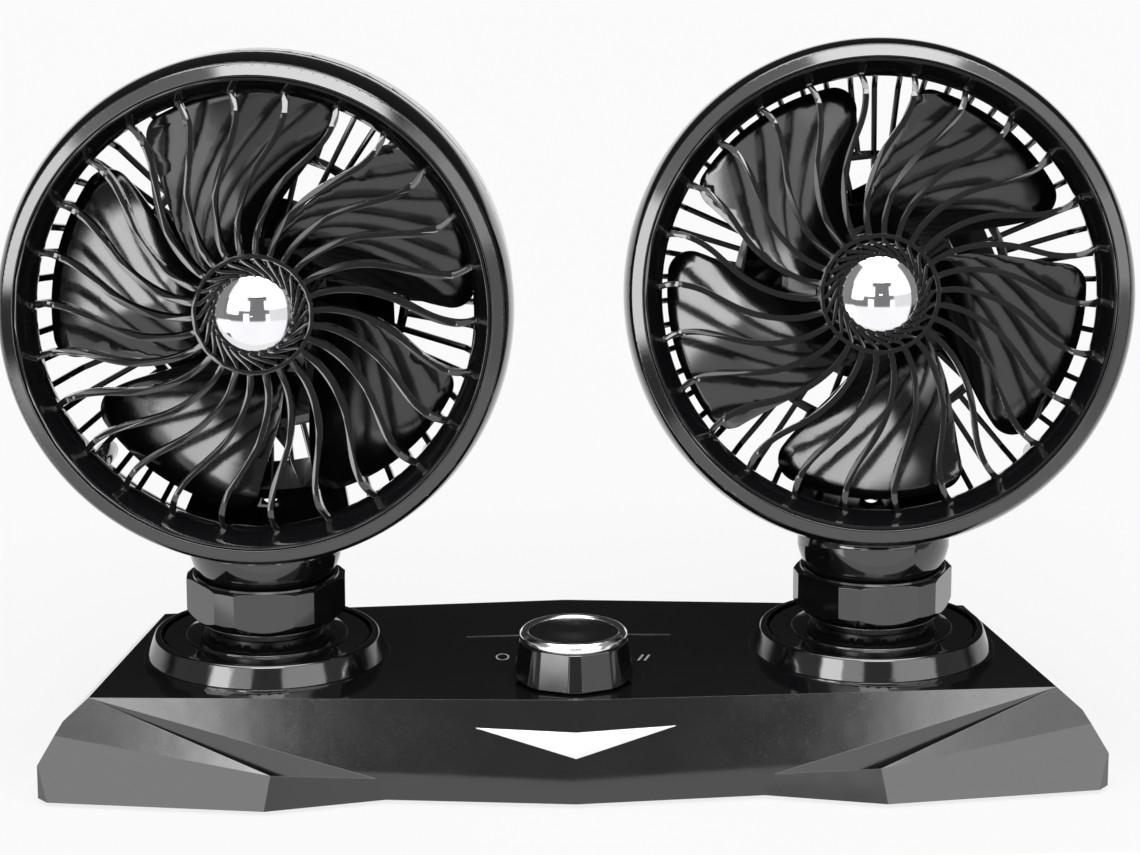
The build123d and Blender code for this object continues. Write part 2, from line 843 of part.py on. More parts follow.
def socket_post():
    """The threaded post: spigot, flange and a dished top under the cup."""
    flange_top = nut_bottom_z - post_flange_gap
    flange_low = flange_top - post_flange_thickness
    spigot = turntable_bore_radius - seat_gap / 2
    points = [
        (0, turntable_neck_z - post_spigot_length),
        (spigot, turntable_neck_z - post_spigot_length),
        (spigot, turntable_neck_z),
        (post_waist_radius, turntable_neck_z),
        (post_waist_radius, flange_low),
        (post_flange_radius, flange_low),
        (post_flange_radius, flange_top),
        (post_radius, flange_top),
        (post_radius, post_top_z),
        (0, post_top_z),
    ]
    post = outline_solid(points) - pivot_sphere(cup_sphere_radius + post_floor_gap)
    floor_z = turntable_neck_z - post_spigot_length
    post -= disc(stud_radius + running_gap / 2, floor_z - overrun, pivot_z)
    return post - disc(stud_foot_radius + seat_gap, floor_z - overrun, floor_z + stud_foot_height)


def pivot_stud():
    """The hollow stud: foot under the post, groove at the top for the clip, bore for the leads."""
    floor_z = turntable_neck_z - post_spigot_length
    clip_z = pivot_z - hat_top_drop - hat_pocket_depth
    tip = pivot_z - stud_tip_drop
    points = [
        (stud_bore_radius, floor_z),
        (stud_foot_radius, floor_z),
        (stud_foot_radius, floor_z + stud_foot_height),
        (stud_radius, floor_z + stud_foot_height),
        (stud_radius, clip_z),
        (stud_radius - stud_groove_depth, clip_z),
        (stud_radius - stud_groove_depth, clip_z + clip_thickness + seat_gap),
        (stud_radius, clip_z + clip_thickness + seat_gap),
        (stud_radius, tip),
        (stud_bore_radius, tip),
    ]
    return outline_solid(points)


def pivot_hat():
    """The spherical washer that holds the cup down from inside."""
    top = pivot_z - hat_top_drop
    hat = pivot_sphere(cup_inner_radius - sphere_gap) & disc(hat_rim_radius, pivot_z - cup_sphere_radius, top)
    hat -= disc(stud_radius + running_gap / 2, pivot_z - cup_sphere_radius - overrun, top + overrun)
    return hat - disc(hat_pocket_radius, top - hat_pocket_depth, top + overrun)


def hat_clip():
    """The snap ring in the stud's groove, open on one side."""
    low = pivot_z - hat_top_drop - hat_pocket_depth
    ring = tube(clip_radius, stud_radius - stud_groove_depth + running_gap / 2, low, low + clip_thickness)
    reach, high = clip_radius + overrun, low + clip_thickness + overrun
    return ring - block(clip_mouth, reach, low - overrun, high, 0, reach / 2)


def clamp_nut():
    """The nut with six wide and six narrow faces, its lower corners turned off."""
    half = nut_wide_face_degrees / 2
    corners = []
    for angle in around(nut_face_count, -90):
        corners += [polar(nut_corner_radius, angle - half), polar(nut_corner_radius, angle + half)]
    prism = extrude(Pos(0, 0, nut_bottom_z) * make_face(Polyline(*corners, close=True)), nut_height)
    top = nut_top_z - nut_lip_height
    turned = outline_solid([
        (0, nut_bottom_z),
        (nut_bottom_chamfer_radius, nut_bottom_z),
        (nut_corner_radius + seat_gap, nut_bottom_z + nut_bottom_chamfer_height),
        (nut_corner_radius + seat_gap, top - nut_top_chamfer / 2),
        (nut_corner_radius - nut_top_chamfer, top),
        (nut_lip_radius, top),
        (nut_lip_radius - nut_lip_height / 3, nut_top_z),
        (0, nut_top_z),
    ])
    nut = prism & turned
    nut -= disc(post_radius + running_gap, nut_bottom_z - overrun, nut_bottom_z + nut_thread_height)
    hollow = outline_solid([
        (0, nut_bottom_z + nut_thread_height - pilot_gap),
        (post_radius + running_gap, nut_bottom_z + nut_thread_height - pilot_gap),
        (post_radius + running_gap, nut_top_z + overrun),
        (0, nut_top_z + overrun),
    ])
    return nut - hollow - pivot_sphere(cup_sphere_radius + nut_cup_gap)


# Neck of the head, in the head's frame: the pivot is the origin, the front faces -Y


def cup_lug_places():
    return [polar(cup_lug_place_radius, a) for a in around(cup_screw_count, 90)]


def neck_cup():
    """The round-bottomed cup: a zone of a hollow sphere with three screw lugs at its rim."""
    zone = disc(cup_sphere_radius + overrun, -cup_bottom_drop, -cup_top_drop)
    cup = (Sphere(cup_sphere_radius) & zone) - Sphere(cup_inner_radius)
    for x, y in cup_lug_places():
        lug = disc(cup_lug_radius, -cup_top_drop - cup_lug_height, -cup_top_drop, x, y)
        cup += lug & Sphere(cup_inner_radius + cup_wall / 2)
    for x, y in cup_lug_places():
        cup -= disc(small_screw_radius + pilot_gap, -cup_top_drop - cup_lug_height - overrun, overrun, x, y)
    return cup


def cup_screws():
    """Three screws from inside the head down into the cup's lugs."""
    seat = -cup_top_drop + boss_floor_thickness
    length = boss_floor_thickness + cup_lug_height - seat_gap
    one = screw(small_head_radius, small_head_height, small_screw_radius, length)
    return Compound([(Pos(x, y, seat) * one).solid() for x, y in cup_lug_places()])


# Fan head, in the fan's frame: the axis is Z and the front faces +Z


def fan_place():
    """Where the fan's frame lies in the head's frame."""
    return Pos(0, 0, fan_rise) * Rot(X=90)


def front_bezel():
    """The rounded outer ring with a flat inner lip and four screw pillars inside."""
    shoulder_z = lip_height - bezel_shoulder_drop
    round_z = shoulder_z - bezel_round_drop
    inner_lip_z = lip_height - bezel_inner_lip_drop
    lip_bore = bezel_lip_radius - bezel_lip_width
    inner_radius = bezel_radius - bezel_wall
    round_width = bezel_radius - bezel_shoulder_radius
    chain = [
        Line((drum_radius, bezel_joint_height), (bezel_radius, round_z)),
        EllipticalCenterArc((bezel_shoulder_radius, round_z), round_width, bezel_round_drop),
        Polyline(
            (bezel_shoulder_radius, shoulder_z),
            (bezel_lip_radius, lip_height),
            (lip_bore, lip_height),
            (lip_bore, inner_lip_z),
            (inner_radius - bezel_wall, inner_lip_z),
            (inner_radius, inner_lip_z - bezel_wall),
            (inner_radius, bezel_joint_height),
            (drum_radius, bezel_joint_height),
        ),
    ]
    ring = revolve(Plane.XZ * make_face(Curve() + chain), Axis.Z)
    pillars, holes = [], []
    limit = disc(bezel_radius - bezel_wall / 2, 0, lip_height)
    for angle in around(head_screw_count, head_screw_first_angle):
        x, y = polar(head_screw_place_radius, angle)
        pillar_top = inner_lip_z - 2 * grille_flange_thickness - 2 * seat_gap
        pillars.append(disc(head_boss_radius, bezel_joint_height, pillar_top, x, y))
        wall = block(bezel_radius - head_screw_place_radius, head_boss_radius, bezel_joint_height, pillar_top)
        reach = (bezel_radius + head_screw_place_radius) / 2
        pillars.append((Rot(Z=angle) * Pos(reach, 0, 0) * wall) & limit)
        low, high = bezel_joint_height - overrun, head_screw_top + seat_gap
        holes.append(disc(small_screw_radius + pilot_gap, low, high, x, y))
    return ring + pillars - holes


def vane_face(points, thickness):
    """A strip of even thickness along a smooth line through the points."""
    line = Spline(*points)
    left, right = [], []
    for share in [i / (2 * len(points)) for i in range(2 * len(points) + 1)]:
        at, along = line @ share, line % share
        side = Vector(-along.Y, along.X, 0) * (thickness / 2)
        left.append(at + side)
        right.append(at - side)
    return make_face([Spline(*left), Line(left[-1], right[-1]), Spline(*right), Line(right[0], left[0])])


def swept_strip(reach, shares, turns, thickness):
    """One upright strip whose line runs through points at shares of a reach, turned by degrees."""
    face = vane_face([polar(reach * share, turn) for share, turn in zip(shares, turns)], thickness)
    return extrude(Pos(0, 0, vane_low()) * face, vane_depth)


def vane_low():
    return lip_height - vane_front_drop - vane_depth


def vanes():
    """The S-shaped vanes between the funnel and the hub ring, lower at their outer ends."""
    one = swept_strip(vane_reach, vane_reach_shares, vane_sweep_degrees, vane_thickness)
    front = lip_height - vane_front_drop
    sink = (vane_end_drop - vane_front_drop) / (vane_reach - vane_flat_radius)
    far = vane_reach + overrun
    one -= outline_solid([
        (vane_flat_radius, front + overrun),
        (vane_flat_radius, front),
        (far, front - sink * (far - vane_flat_radius)),
        (far, front + overrun),
    ])
    return [Rot(Z=angle) * one for angle in around(vane_count, vane_first_angle)]


def hub_fins():
    """Short curved fins that carry on inside the hub ring to the cap's seat."""
    turns = [vane_sweep_degrees[-1] + turn for turn in hub_fin_turn_degrees]
    one = swept_strip(hub_ring_radius, hub_fin_reach_shares, turns, hub_fin_thickness)
    return [Rot(Z=angle) * one for angle in around(vane_count, vane_first_angle)]


def front_grille():
    """One moulding: funnel ring with its duct, the vanes, the hub ring and the cap's seat."""
    rim = bezel_lip_radius - bezel_lip_width - grille_rim_gap
    rim_top = lip_height - grille_rim_drop
    funnel_low = lip_height - funnel_drop
    flange_top = lip_height - bezel_inner_lip_drop - seat_gap
    flange_low = flange_top - grille_flange_thickness
    duct_low = funnel_low - throat_length
    points = [
        (rim, rim_top),
        (rim - grille_rim_width, rim_top),
        (throat_radius, funnel_low),
        (throat_radius, duct_low),
        (throat_outer_radius, duct_low),
        (throat_outer_radius, flange_low - grille_flange_thickness),
        (rim - grille_rim_width, flange_low),
        (grille_flange_radius, flange_low),
        (grille_flange_radius, flange_top),
        (rim, flange_top),
    ]
    grille = outline_solid(points)
    ring_top = lip_height - hub_ring_drop
    core_top = lip_height - hub_cap_seat_drop
    low = ring_top - hub_ring_depth
    solid = grille.fuse(*vanes())
    solid -= disc(hub_ring_radius - hub_ring_wall / 2, low - overrun, ring_top + overrun)
    ring = tube(hub_ring_radius, hub_ring_radius - hub_ring_wall, low, ring_top)
    core = disc(hub_core_radius, core_top - hub_core_depth, core_top)
    return solid.fuse(ring, core, *hub_fins())


def hub_cap():
    """The bright domed cap: a shallow dome over a short skirt round the grille's core."""
    seat = lip_height - hub_cap_seat_drop + seat_gap
    dome_radius = (hub_cap_radius**2 + hub_cap_rise**2) / (2 * hub_cap_rise)
    dome = Pos(0, 0, seat + hub_cap_rise - dome_radius) * Sphere(dome_radius)
    return dome & disc(hub_cap_radius, seat, seat + hub_cap_rise + overrun)


def blade_section(share):
    """The blade's section across its length, at a share of the tip radius."""
    reach = share * blade_tip_radius
    upper, lower = [], []
    for step in (-1, -0.5, 0, 0.5, 1):
        angle = step * blade_section_span
        y = reach * tan(radians(angle))
        z = blade_middle_height + blade_rise_per_degree * (angle + blade_twist_middle)
        upper.append((reach, y, z + blade_thickness / 2))
        lower.append((reach, y, z - blade_thickness / 2))
    return make_face([Spline(*upper), Line(upper[-1], lower[-1]), Spline(*lower), Line(lower[0], upper[0])])


def blade_outline():
    """The blade seen from the front: swept edges, round tip and a round trailing corner."""
    lead = [polar(blade_tip_radius * s, a) for s, a in zip(blade_reach_shares, blade_lead_degrees)]
    trail = [polar(blade_tip_radius * s, a) for s, a in zip(blade_reach_shares, blade_trail_degrees)]
    tip = ThreePointArc(lead[0], (blade_tip_radius, 0), trail[0])
    face = make_face([tip, Spline(*trail), Line(trail[-1], lead[-1]), Spline(*lead)])
    corners = [v for v in face.vertices() if hypot(v.X, v.Y) > blade_tip_radius - blade_corner_radius]
    return fillet(corners, blade_corner_radius)


def impeller():
    """Five wide twisted blades on a cup-shaped hub; the first blade's tip is centred on +X."""
    slab = loft([blade_section(share) for share in blade_section_shares])
    slab = Rot(Z=blade_twist_middle) * slab
    blade = slab & extrude(Pos(0, 0, -lip_height) * blade_outline(), 2 * lip_height)
    hub = disc(impeller_hub_radius, impeller_hub_back, impeller_hub_front)
    hub = fillet(hub.edges().sort_by(Axis.Z)[-1], impeller_hub_round)
    solid = hub.fuse(*[Rot(Z=angle) * blade for angle in around(blade_count)])
    floor = impeller_hub_front - impeller_hub_wall
    solid -= disc(impeller_hub_radius - impeller_hub_wall, -lip_height, floor - impeller_hub_wall)
    boss_foot = motor_front + motor_bush_height + 4 * seat_gap
    solid += disc(impeller_boss_radius, boss_foot, floor)
    return solid - disc(shaft_radius + running_gap / 4, 0, shaft_top())


def shaft_top():
    return impeller_hub_front - impeller_hub_round


def motor_can():
    """The motor: rounded can with its front bush, bored for the shaft."""
    can = disc(motor_radius, motor_back, motor_front)
    can = chamfer(can.edges().filter_by(GeomType.CIRCLE), motor_edge)
    can += disc(motor_bush_radius, motor_front, motor_front + motor_bush_height)
    bore = disc(shaft_radius + running_gap / 2, motor_back + shaft_tail, motor_front + 2 * motor_bush_height)
    return can - bore


def motor_shaft():
    return disc(shaft_radius, motor_back + shaft_tail + seat_gap, shaft_top() - shaft_tip_gap)


def slot(inner, outer, count, angle, low, high):
    """One opening between two straight bars, as a block through the back wall."""
    corners = []
    for radius in (inner, outer):
        half = 180 / count - degrees(asin(bar_width / 2 / radius))
        corners.append((polar(radius, angle - half), polar(radius, angle + half)))
    (a, b), (c, d) = corners
    return extrude(Pos(0, 0, low) * make_face(Polyline(a, c, d, b, close=True)), high - low)


def drum_points(inset):
    """The drum's outer line from its joint to its back, moved inwards by an inset."""
    return [
        (drum_radius - inset, bezel_joint_height - drum_joint_gap),
        (drum_waist_radius - inset, drum_waist_height),
        (drum_shoulder_radius - inset, drum_shoulder_height + inset / 3),
        (drum_back_radius - inset / 2, drum_back_height + inset),
    ]


def cage_slots():
    """The openings between the bars: inner row, outer row, and the shorter ones over the neck."""
    low, high = drum_back_height - overrun, slot_top_height
    inner = around(inner_bar_count, 90 / inner_bar_count)
    slots = [slot(slot_inner_radius, cage_ring_inner_radius, inner_bar_count, a, low, high) for a in inner]
    for angle in around(bar_count):
        closed = abs(angle - 270) < closed_panel_degrees
        reach = closed_panel_radius if closed else slot_outer_radius
        slots.append(slot(cage_ring_outer_radius, reach, bar_count, angle, low, high))
    drain = block(drain_width, drain_height, drum_back_height - overrun, drum_shoulder_height + drum_wall)
    return slots + [Pos(0, -drain_radius, 0) * drain]


def drum():
    """The drum's wall with the spigot that centres it in the bezel."""
    back = drum_points(0)
    inside = drum_points(drum_wall)
    spigot_top = bezel_joint_height + drum_spigot
    spigot_outer = bezel_radius - bezel_wall - 2 * seat_gap
    spigot_inner = spigot_outer - drum_spigot_wall
    points = [(0, drum_back_height)] + list(reversed(back))
    points += [(spigot_outer, back[0][1]), (spigot_outer, spigot_top), (spigot_inner, spigot_top)]
    points += [(spigot_inner, inside[0][1] - drum_spigot)] + inside[1:] + [(0, inside[-1][1])]
    return outline_solid(points)


def head_bosses():
    """The four screw bosses inside the drum, and the cuts for their screws and the bezel's pillars."""
    back = drum_points(0)
    whole_drum = outline_solid([(0, back[-1][1])] + list(reversed(back)) + [(0, back[0][1])])
    bosses, cuts = [], []
    for angle in around(head_screw_count, head_screw_first_angle):
        x, y = polar(head_screw_place_radius, angle)
        boss = disc(head_boss_radius, drum_shoulder_height, bezel_joint_height - drum_joint_gap, x, y)
        bosses.append(boss & whole_drum)
        depth, width = 2 * (drum_wall + head_boss_radius), 2 * head_boss_radius + 4 * seat_gap
        notch = block(depth, width, bezel_joint_height, lip_height)
        cuts.append(Rot(Z=angle) * Pos(head_screw_place_radius, 0, 0) * notch)
        cuts.append(disc(small_screw_radius + seat_gap, drum_back_height, lip_height, x, y))
        cuts.append(disc(small_head_radius + seat_gap, drum_back_height - overrun, head_screw_seat, x, y))
    return bosses, cuts


def neck_cuts():
    """Cuts in the head's frame for the leads and for the cup's screws."""
    low, top = -cup_top_drop - overrun, pedestal_top()
    cuts = [disc(lead_hole_radius, low, top + overrun)]
    for x, y in cup_lug_places():
        cuts.append(disc(small_screw_radius + seat_gap, low, top, x, y))
        seat = -cup_top_drop + boss_floor_thickness
        cuts.append(disc(small_head_radius + seat_gap, seat, top + 3 * overrun, x, y))
    return cuts


def rear_cage():
    """The drum with its radial bars, motor cup, screw bosses and the pedestal for the neck."""
    cage = drum() - cage_slots()
    cage += disc(motor_cup_radius, drum_back_height, motor_cup_front)
    bosses, cuts = head_bosses()
    for boss in bosses:
        cage += boss
    cuts.append(disc(motor_radius + motor_cup_gap, drum_back_height - overrun, motor_cup_front + overrun))
    screw_top = drum_back_height + cover_screw_length
    for x, y in cover_screw_places():
        cuts.append(disc(small_screw_radius / 2 + pilot_gap, drum_back_height - overrun, screw_top, x, y))
    cage += pedestal()
    return cage - cuts - [fan_place().inverse() * cut for cut in neck_cuts()]


def cover_screw_places():
    return [polar(cover_screw_place_radius, angle) for angle in around(cover_screw_count, 90)]


def pedestal_top():
    """How far the pedestal reaches up into the drum wall, in the head's frame."""
    return fan_rise - sqrt((drum_waist_radius - drum_wall) ** 2 - cup_top_radius**2) + overrun


def pedestal():
    """The round foot under the drum that the cup is screwed to."""
    foot = disc(cup_top_radius, -cup_top_drop, pedestal_top())
    foot = fan_place().inverse() * foot
    hollow = disc(drum_waist_radius - drum_wall, -lip_height - 2 * drum_wall, bezel_joint_height)
    front = disc(bezel_radius + 2 * seat_gap, bezel_joint_height - drum_joint_gap, 2 * lip_height)
    return foot - hollow - front


def motor_cover():
    """The round cap over the motor's back, with a plug in the cup and screw holes."""
    low = drum_back_height - cover_thickness
    points = [
        (0, low),
        (cover_radius - cover_edge, low),
        (cover_radius, low + cover_edge),
        (cover_radius, drum_back_height - seat_gap / 2),
        (cover_plug_radius, drum_back_height - seat_gap / 2),
        (cover_plug_radius, motor_back - 2 * seat_gap),
        (0, motor_back - 2 * seat_gap),
    ]
    cover = outline_solid(points)
    for x, y in cover_screw_places():
        cover -= disc(small_screw_radius / 2 + seat_gap, low - overrun, drum_back_height, x, y)
    return cover


def cover_screws():
    """Three small screws from behind through the cover into the motor cup."""
    length = cover_thickness + cover_screw_length - overrun
    one = Rot(X=180) * screw(small_head_radius / 2, small_head_height / 2, small_screw_radius / 2, length)
    seat = drum_back_height - cover_thickness
    return Compound([(Pos(x, y, seat) * one).solid() for x, y in cover_screw_places()])


def head_screws():
    """Four long screws from behind, heads sunk in the cage's bosses."""
    reach = head_screw_top - head_screw_seat
    one = Rot(X=180) * screw(small_head_radius, small_head_height, small_screw_radius, reach)
    places = [polar(head_screw_place_radius, a) for a in around(head_screw_count, head_screw_first_angle)]
    return Compound([(Pos(x, y, head_screw_seat) * one).solid() for x, y in places])


# Everything in its place


def fixed_pieces():
    """Pieces of each neck that stay on the base, by name."""
    return {"collar_ring": collar_ring(), "collar_screws": collar_screws()}


def stand_pieces():
    """Pieces of each neck that swivel on the base, by name."""
    return {
        "turntable": turntable(),
        "swivel_washer": swivel_washer(),
        "swivel_retainer": swivel_retainer(),
        "retainer_screws": retainer_screws(),
        "socket_post": socket_post(),
        "pivot_stud": pivot_stud(),
        "pivot_hat": pivot_hat(),
        "hat_clip": hat_clip(),
    }


def neck_pieces():
    return {"neck_cup": neck_cup(), "cup_screws": cup_screws()}


def fan_pieces():
    return {
        "front_bezel": front_bezel(),
        "front_grille": front_grille(),
        "hub_cap": hub_cap(),
        "motor_can": motor_can(),
        "motor_shaft": motor_shaft(),
        "rear_cage": rear_cage(),
        "motor_cover": motor_cover(),
        "cover_screws": cover_screws(),
        "head_screws": head_screws(),
    }


def base_pieces():
    return {
        "base_top_shell": base_top_shell(),
        "base_bottom_plate": base_bottom_plate(),
        "bottom_screws": bottom_screws(),
        "rubber_feet": rubber_feet(),
        "knob_body": knob_body(),
        "knob_ring": knob_ring(),
        "knob_disc": knob_disc(),
        "switch_shaft": switch_shaft(),
        "rotary_switch": rotary_switch(),
        "switch_nut": switch_nut(),
        "circuit_board": circuit_board(),
        "board_screws": board_screws(),
        "front_badge": front_badge(),
        "cable_grommet": cable_grommet(),
    }


def placed(pieces, name, place):
    """Pieces moved to their place on one side, under that side's names."""
    return {f"{name}_{key}": place * piece for key, piece in pieces.items()}


def all_pieces():
    """Every node by name, where it stands on the object."""
    pieces = base_pieces()
    fixed, stand, neck, fan = fixed_pieces(), stand_pieces(), neck_pieces(), fan_pieces()
    nut, blades = clamp_nut(), impeller()
    left = ("left", -1, left_tilt, left_blade_turn, Rot(Z=0))
    right = ("right", 1, right_tilt, right_blade_turn, Pos(0, 0, right_nut_lift) * Rot(Z=right_nut_turn))
    for name, side, tilt, blade_turn, nut_place in (left, right):
        axis = Pos(head_x(side), neck_y, 0)
        swivel = axis * Rot(Z=head_swivel)
        head = swivel * Pos(0, 0, pivot_z) * Rot(X=-tilt)
        pieces |= placed(fixed, name, axis)
        pieces |= placed(stand, name, swivel)
        pieces |= placed({"clamp_nut": nut}, name, axis * nut_place)
        pieces |= placed(neck, name, head)
        pieces |= placed(fan, name, head * fan_place())
        pieces |= placed({"impeller": blades}, name, head * fan_place() * Rot(Z=blade_turn))
    return pieces


os.makedirs("parts", exist_ok=True)
for name, piece in all_pieces().items():
    export_step(piece, f"parts/{name}.step")
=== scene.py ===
import json
import logging
from dataclasses import dataclass
from enum import Enum
from math import cos, radians, sin, tan, tau

import bmesh
import bpy
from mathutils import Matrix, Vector
from mathutils.bvhtree import BVHTree

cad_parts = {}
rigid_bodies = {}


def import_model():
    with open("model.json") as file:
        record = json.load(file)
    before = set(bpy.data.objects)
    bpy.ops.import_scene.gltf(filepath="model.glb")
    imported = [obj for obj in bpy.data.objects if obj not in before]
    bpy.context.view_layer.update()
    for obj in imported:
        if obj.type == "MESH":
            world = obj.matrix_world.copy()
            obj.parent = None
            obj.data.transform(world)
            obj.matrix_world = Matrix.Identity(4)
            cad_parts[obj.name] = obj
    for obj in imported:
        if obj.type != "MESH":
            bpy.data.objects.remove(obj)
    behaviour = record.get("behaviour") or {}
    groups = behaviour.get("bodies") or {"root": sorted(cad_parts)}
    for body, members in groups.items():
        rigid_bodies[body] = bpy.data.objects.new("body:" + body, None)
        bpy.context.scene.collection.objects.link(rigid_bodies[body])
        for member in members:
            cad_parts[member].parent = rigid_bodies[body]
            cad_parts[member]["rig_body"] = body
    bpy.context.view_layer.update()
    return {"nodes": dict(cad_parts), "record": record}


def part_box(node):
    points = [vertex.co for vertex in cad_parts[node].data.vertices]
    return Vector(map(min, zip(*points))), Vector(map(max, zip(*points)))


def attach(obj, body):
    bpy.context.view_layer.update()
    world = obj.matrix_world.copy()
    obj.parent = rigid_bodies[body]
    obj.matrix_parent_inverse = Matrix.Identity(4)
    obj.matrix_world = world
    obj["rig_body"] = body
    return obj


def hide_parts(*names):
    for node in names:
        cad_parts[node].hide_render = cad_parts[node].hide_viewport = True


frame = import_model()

MM = 0.001
MIX_LOW, MIX_HIGH, MIX_RESULT = 6, 7, 2  # the colour sockets of a Mix node
WHITE = (1.0, 1.0, 1.0, 1.0)
DOWN = Vector((0.0, 0.0, -1.0))
LOG = logging.getLogger("dual_head_fan")
Point = tuple[float, float]
Limits = tuple[float, float]
Triple = tuple[float, float, float]
Faces = list[tuple[int, ...]]


class Side(Enum):
    """Where a sub-assembly stands, as the start of its nodes' names."""

    MIDDLE = ""
    LEFT = "left_"
    RIGHT = "right_"


class Operation(Enum):
    """Sums that a shader value can take part in."""

    ADD = "ADD"
    SUBTRACT = "SUBTRACT"
    MULTIPLY = "MULTIPLY"
    MAXIMUM = "MAXIMUM"
    MINIMUM = "MINIMUM"
    ABSOLUTE = "ABSOLUTE"
    SINE = "SINE"
    ASINE = "ARCSINE"
    ATAN2 = "ARCTAN2"


class VectorOperation(Enum):
    """Sums that a point can take part in."""

    SUBTRACT = "SUBTRACT"
    MULTIPLY = "MULTIPLY"
    LENGTH = "LENGTH"


class Value:
    """A number or point that a node puts out, with Python's arithmetic on numbers."""

    def __init__(self, work: "NodeWork", socket: bpy.types.NodeSocket) -> None:
        """Wraps a socket of a node tree."""
        self.work = work
        self.socket = socket

    def __add__(self, other: "Value | float") -> "Value":
        """The sum."""
        return self.work.sum_of(Operation.ADD, self, other)

    def __radd__(self, other: float) -> "Value":
        """The sum, the number first."""
        return self.work.sum_of(Operation.ADD, other, self)

    def __sub__(self, other: "Value | float") -> "Value":
        """The difference."""
        return self.work.sum_of(Operation.SUBTRACT, self, other)

    def __rsub__(self, other: float) -> "Value":
        """The difference, the number first."""
        return self.work.sum_of(Operation.SUBTRACT, other, self)

    def __mul__(self, other: "Value | float") -> "Value":
        """The product."""
        return self.work.sum_of(Operation.MULTIPLY, self, other)

    def __rmul__(self, other: float) -> "Value":
        """The product, the number first."""
        return self.work.sum_of(Operation.MULTIPLY, other, self)

    def clipped(self) -> "Value":
        """The value held between nought and one."""
        return self.work.sum_of(Operation.MINIMUM, self.work.sum_of(Operation.MAXIMUM, self, 0.0), 1.0)


class NodeWork:
    """Builds the nodes of one tree."""

    def __init__(self, tree: bpy.types.NodeTree) -> None:
        """Empties the tree.

        Args:
            tree: the node tree of a material or the world.
        """
        self.tree = tree
        tree.nodes.clear()

    def node(self, kind: str, settings: dict[str, object] | None = None,
             inputs: dict[str | int, object] | None = None) -> bpy.types.Node:
        """Adds one node.

        Args:
            kind: the node's type.
            settings: its properties, set first.
            inputs: a number, colour, socket or Value for each socket.

        Returns:
            The node.
        """
        node = self.tree.nodes.new(kind)
        for name, value in (settings or {}).items():
            setattr(node, name, value)
        for key, value in (inputs or {}).items():
            socket = node.inputs[key]
            if isinstance(value, Value):
                value = value.socket
            if isinstance(value, bpy.types.NodeSocket):
                self.tree.links.new(value, socket)
            else:
                socket.default_value = value
        return node

    def value(self, kind: str, settings: dict[str, object] | None = None,
              inputs: dict[str | int, object] | None = None, output: str | int = 0) -> Value:
        """Adds one node and gives one of its outputs.

        Args:
            kind: the node's type.
            settings: its properties.
            inputs: what its sockets hold.
            output: which output.

        Returns:
            The output as a Value.
        """
        return Value(self, self.node(kind, settings, inputs).outputs[output])

    def sum_of(self, operation: Operation, first: "Value | float", second: "Value | float" = 0.0) -> Value:
        """One Math node.

        Args:
            operation: what it does.
            first: its first value.
            second: its second value.

        Returns:
            The result.
        """
        return self.value("ShaderNodeMath", {"operation": operation.value}, {0: first, 1: second})

    def vector_of(self, operation: VectorOperation, point: Value, other: Triple = (0.0, 0.0, 0.0)) -> Value:
        """One Vector Math node.

        Args:
            operation: what it does.
            point: the point it starts from.
            other: what the point is set against.

        Returns:
            The new point, or a length as a number.
        """
        output = "Value" if operation is VectorOperation.LENGTH else "Vector"
        inputs = {0: point, 1: other}
        return self.value("ShaderNodeVectorMath", {"operation": operation.value}, inputs, output)

    def place(self) -> Value:
        """The point on the surface, in the row's frame, in metres."""
        return self.value("ShaderNodeTexCoord", output="Object")

    def noise(self, point: Value, size: float, detail: float = 3.0) -> Value:
        """Soft random mottling.

        Args:
            point: where.
            size: how large the mottles are, in metres.
            detail: how many finer layers it has.

        Returns:
            A value about one half.
        """
        inputs = {"Vector": point, "Scale": 1.0 / size, "Detail": detail}
        return self.value("ShaderNodeTexNoise", {}, inputs, "Fac")

    def blend(self, factor: "Value | float", low: Triple, high: Triple) -> Value:
        """A colour between two.

        Args:
            factor: how much of the second.
            low: the first colour.
            high: the second colour.

        Returns:
            The colour.
        """
        return self.value("ShaderNodeMix", {"data_type": "RGBA"},
                          {"Factor": factor, MIX_LOW: (*low, 1.0), MIX_HIGH: (*high, 1.0)}, MIX_RESULT)

    def bump(self, height: Value, depth: float) -> Value:
        """A bumped normal.

        Args:
            height: the height, about nought to one.
            depth: what one stands for, in metres.

        Returns:
            The normal.
        """
        inputs = {"Height": height, "Distance": depth, "Strength": 1.0}
        return self.value("ShaderNodeBump", {}, inputs, "Normal")

    def spread(self, share: Value, limits: Limits) -> Value:
        """A value that runs from one limit to the other.

        Args:
            share: nought to one.
            limits: what nought and one stand for.

        Returns:
            The value.
        """
        low, high = limits
        return low + share * (high - low)

    def step(self, angle: Value, start: float, end: float) -> Value:
        """A soft step between two angles.

        Args:
            angle: the angle, in radians.
            start: where it is nought, in degrees.
            end: where it is one, in degrees.

        Returns:
            Nought to one.
        """
        return self.value("ShaderNodeMapRange", {"interpolation_type": "SMOOTHSTEP"},
                          {"Value": angle, "From Min": radians(start), "From Max": radians(end)})

    def band(self, angle: Value, limits: Limits, edge: float) -> Value:
        """One inside two limits, with soft edges.

        Args:
            angle: the angle, in radians.
            limits: from and to, in degrees.
            edge: how wide the soft edges are, in degrees.

        Returns:
            Nought to one.
        """
        low, high = limits
        rise = self.step(angle, low - edge / 2, low + edge / 2)
        fall = self.step(angle, high + edge / 2, high - edge / 2)
        return rise * fall


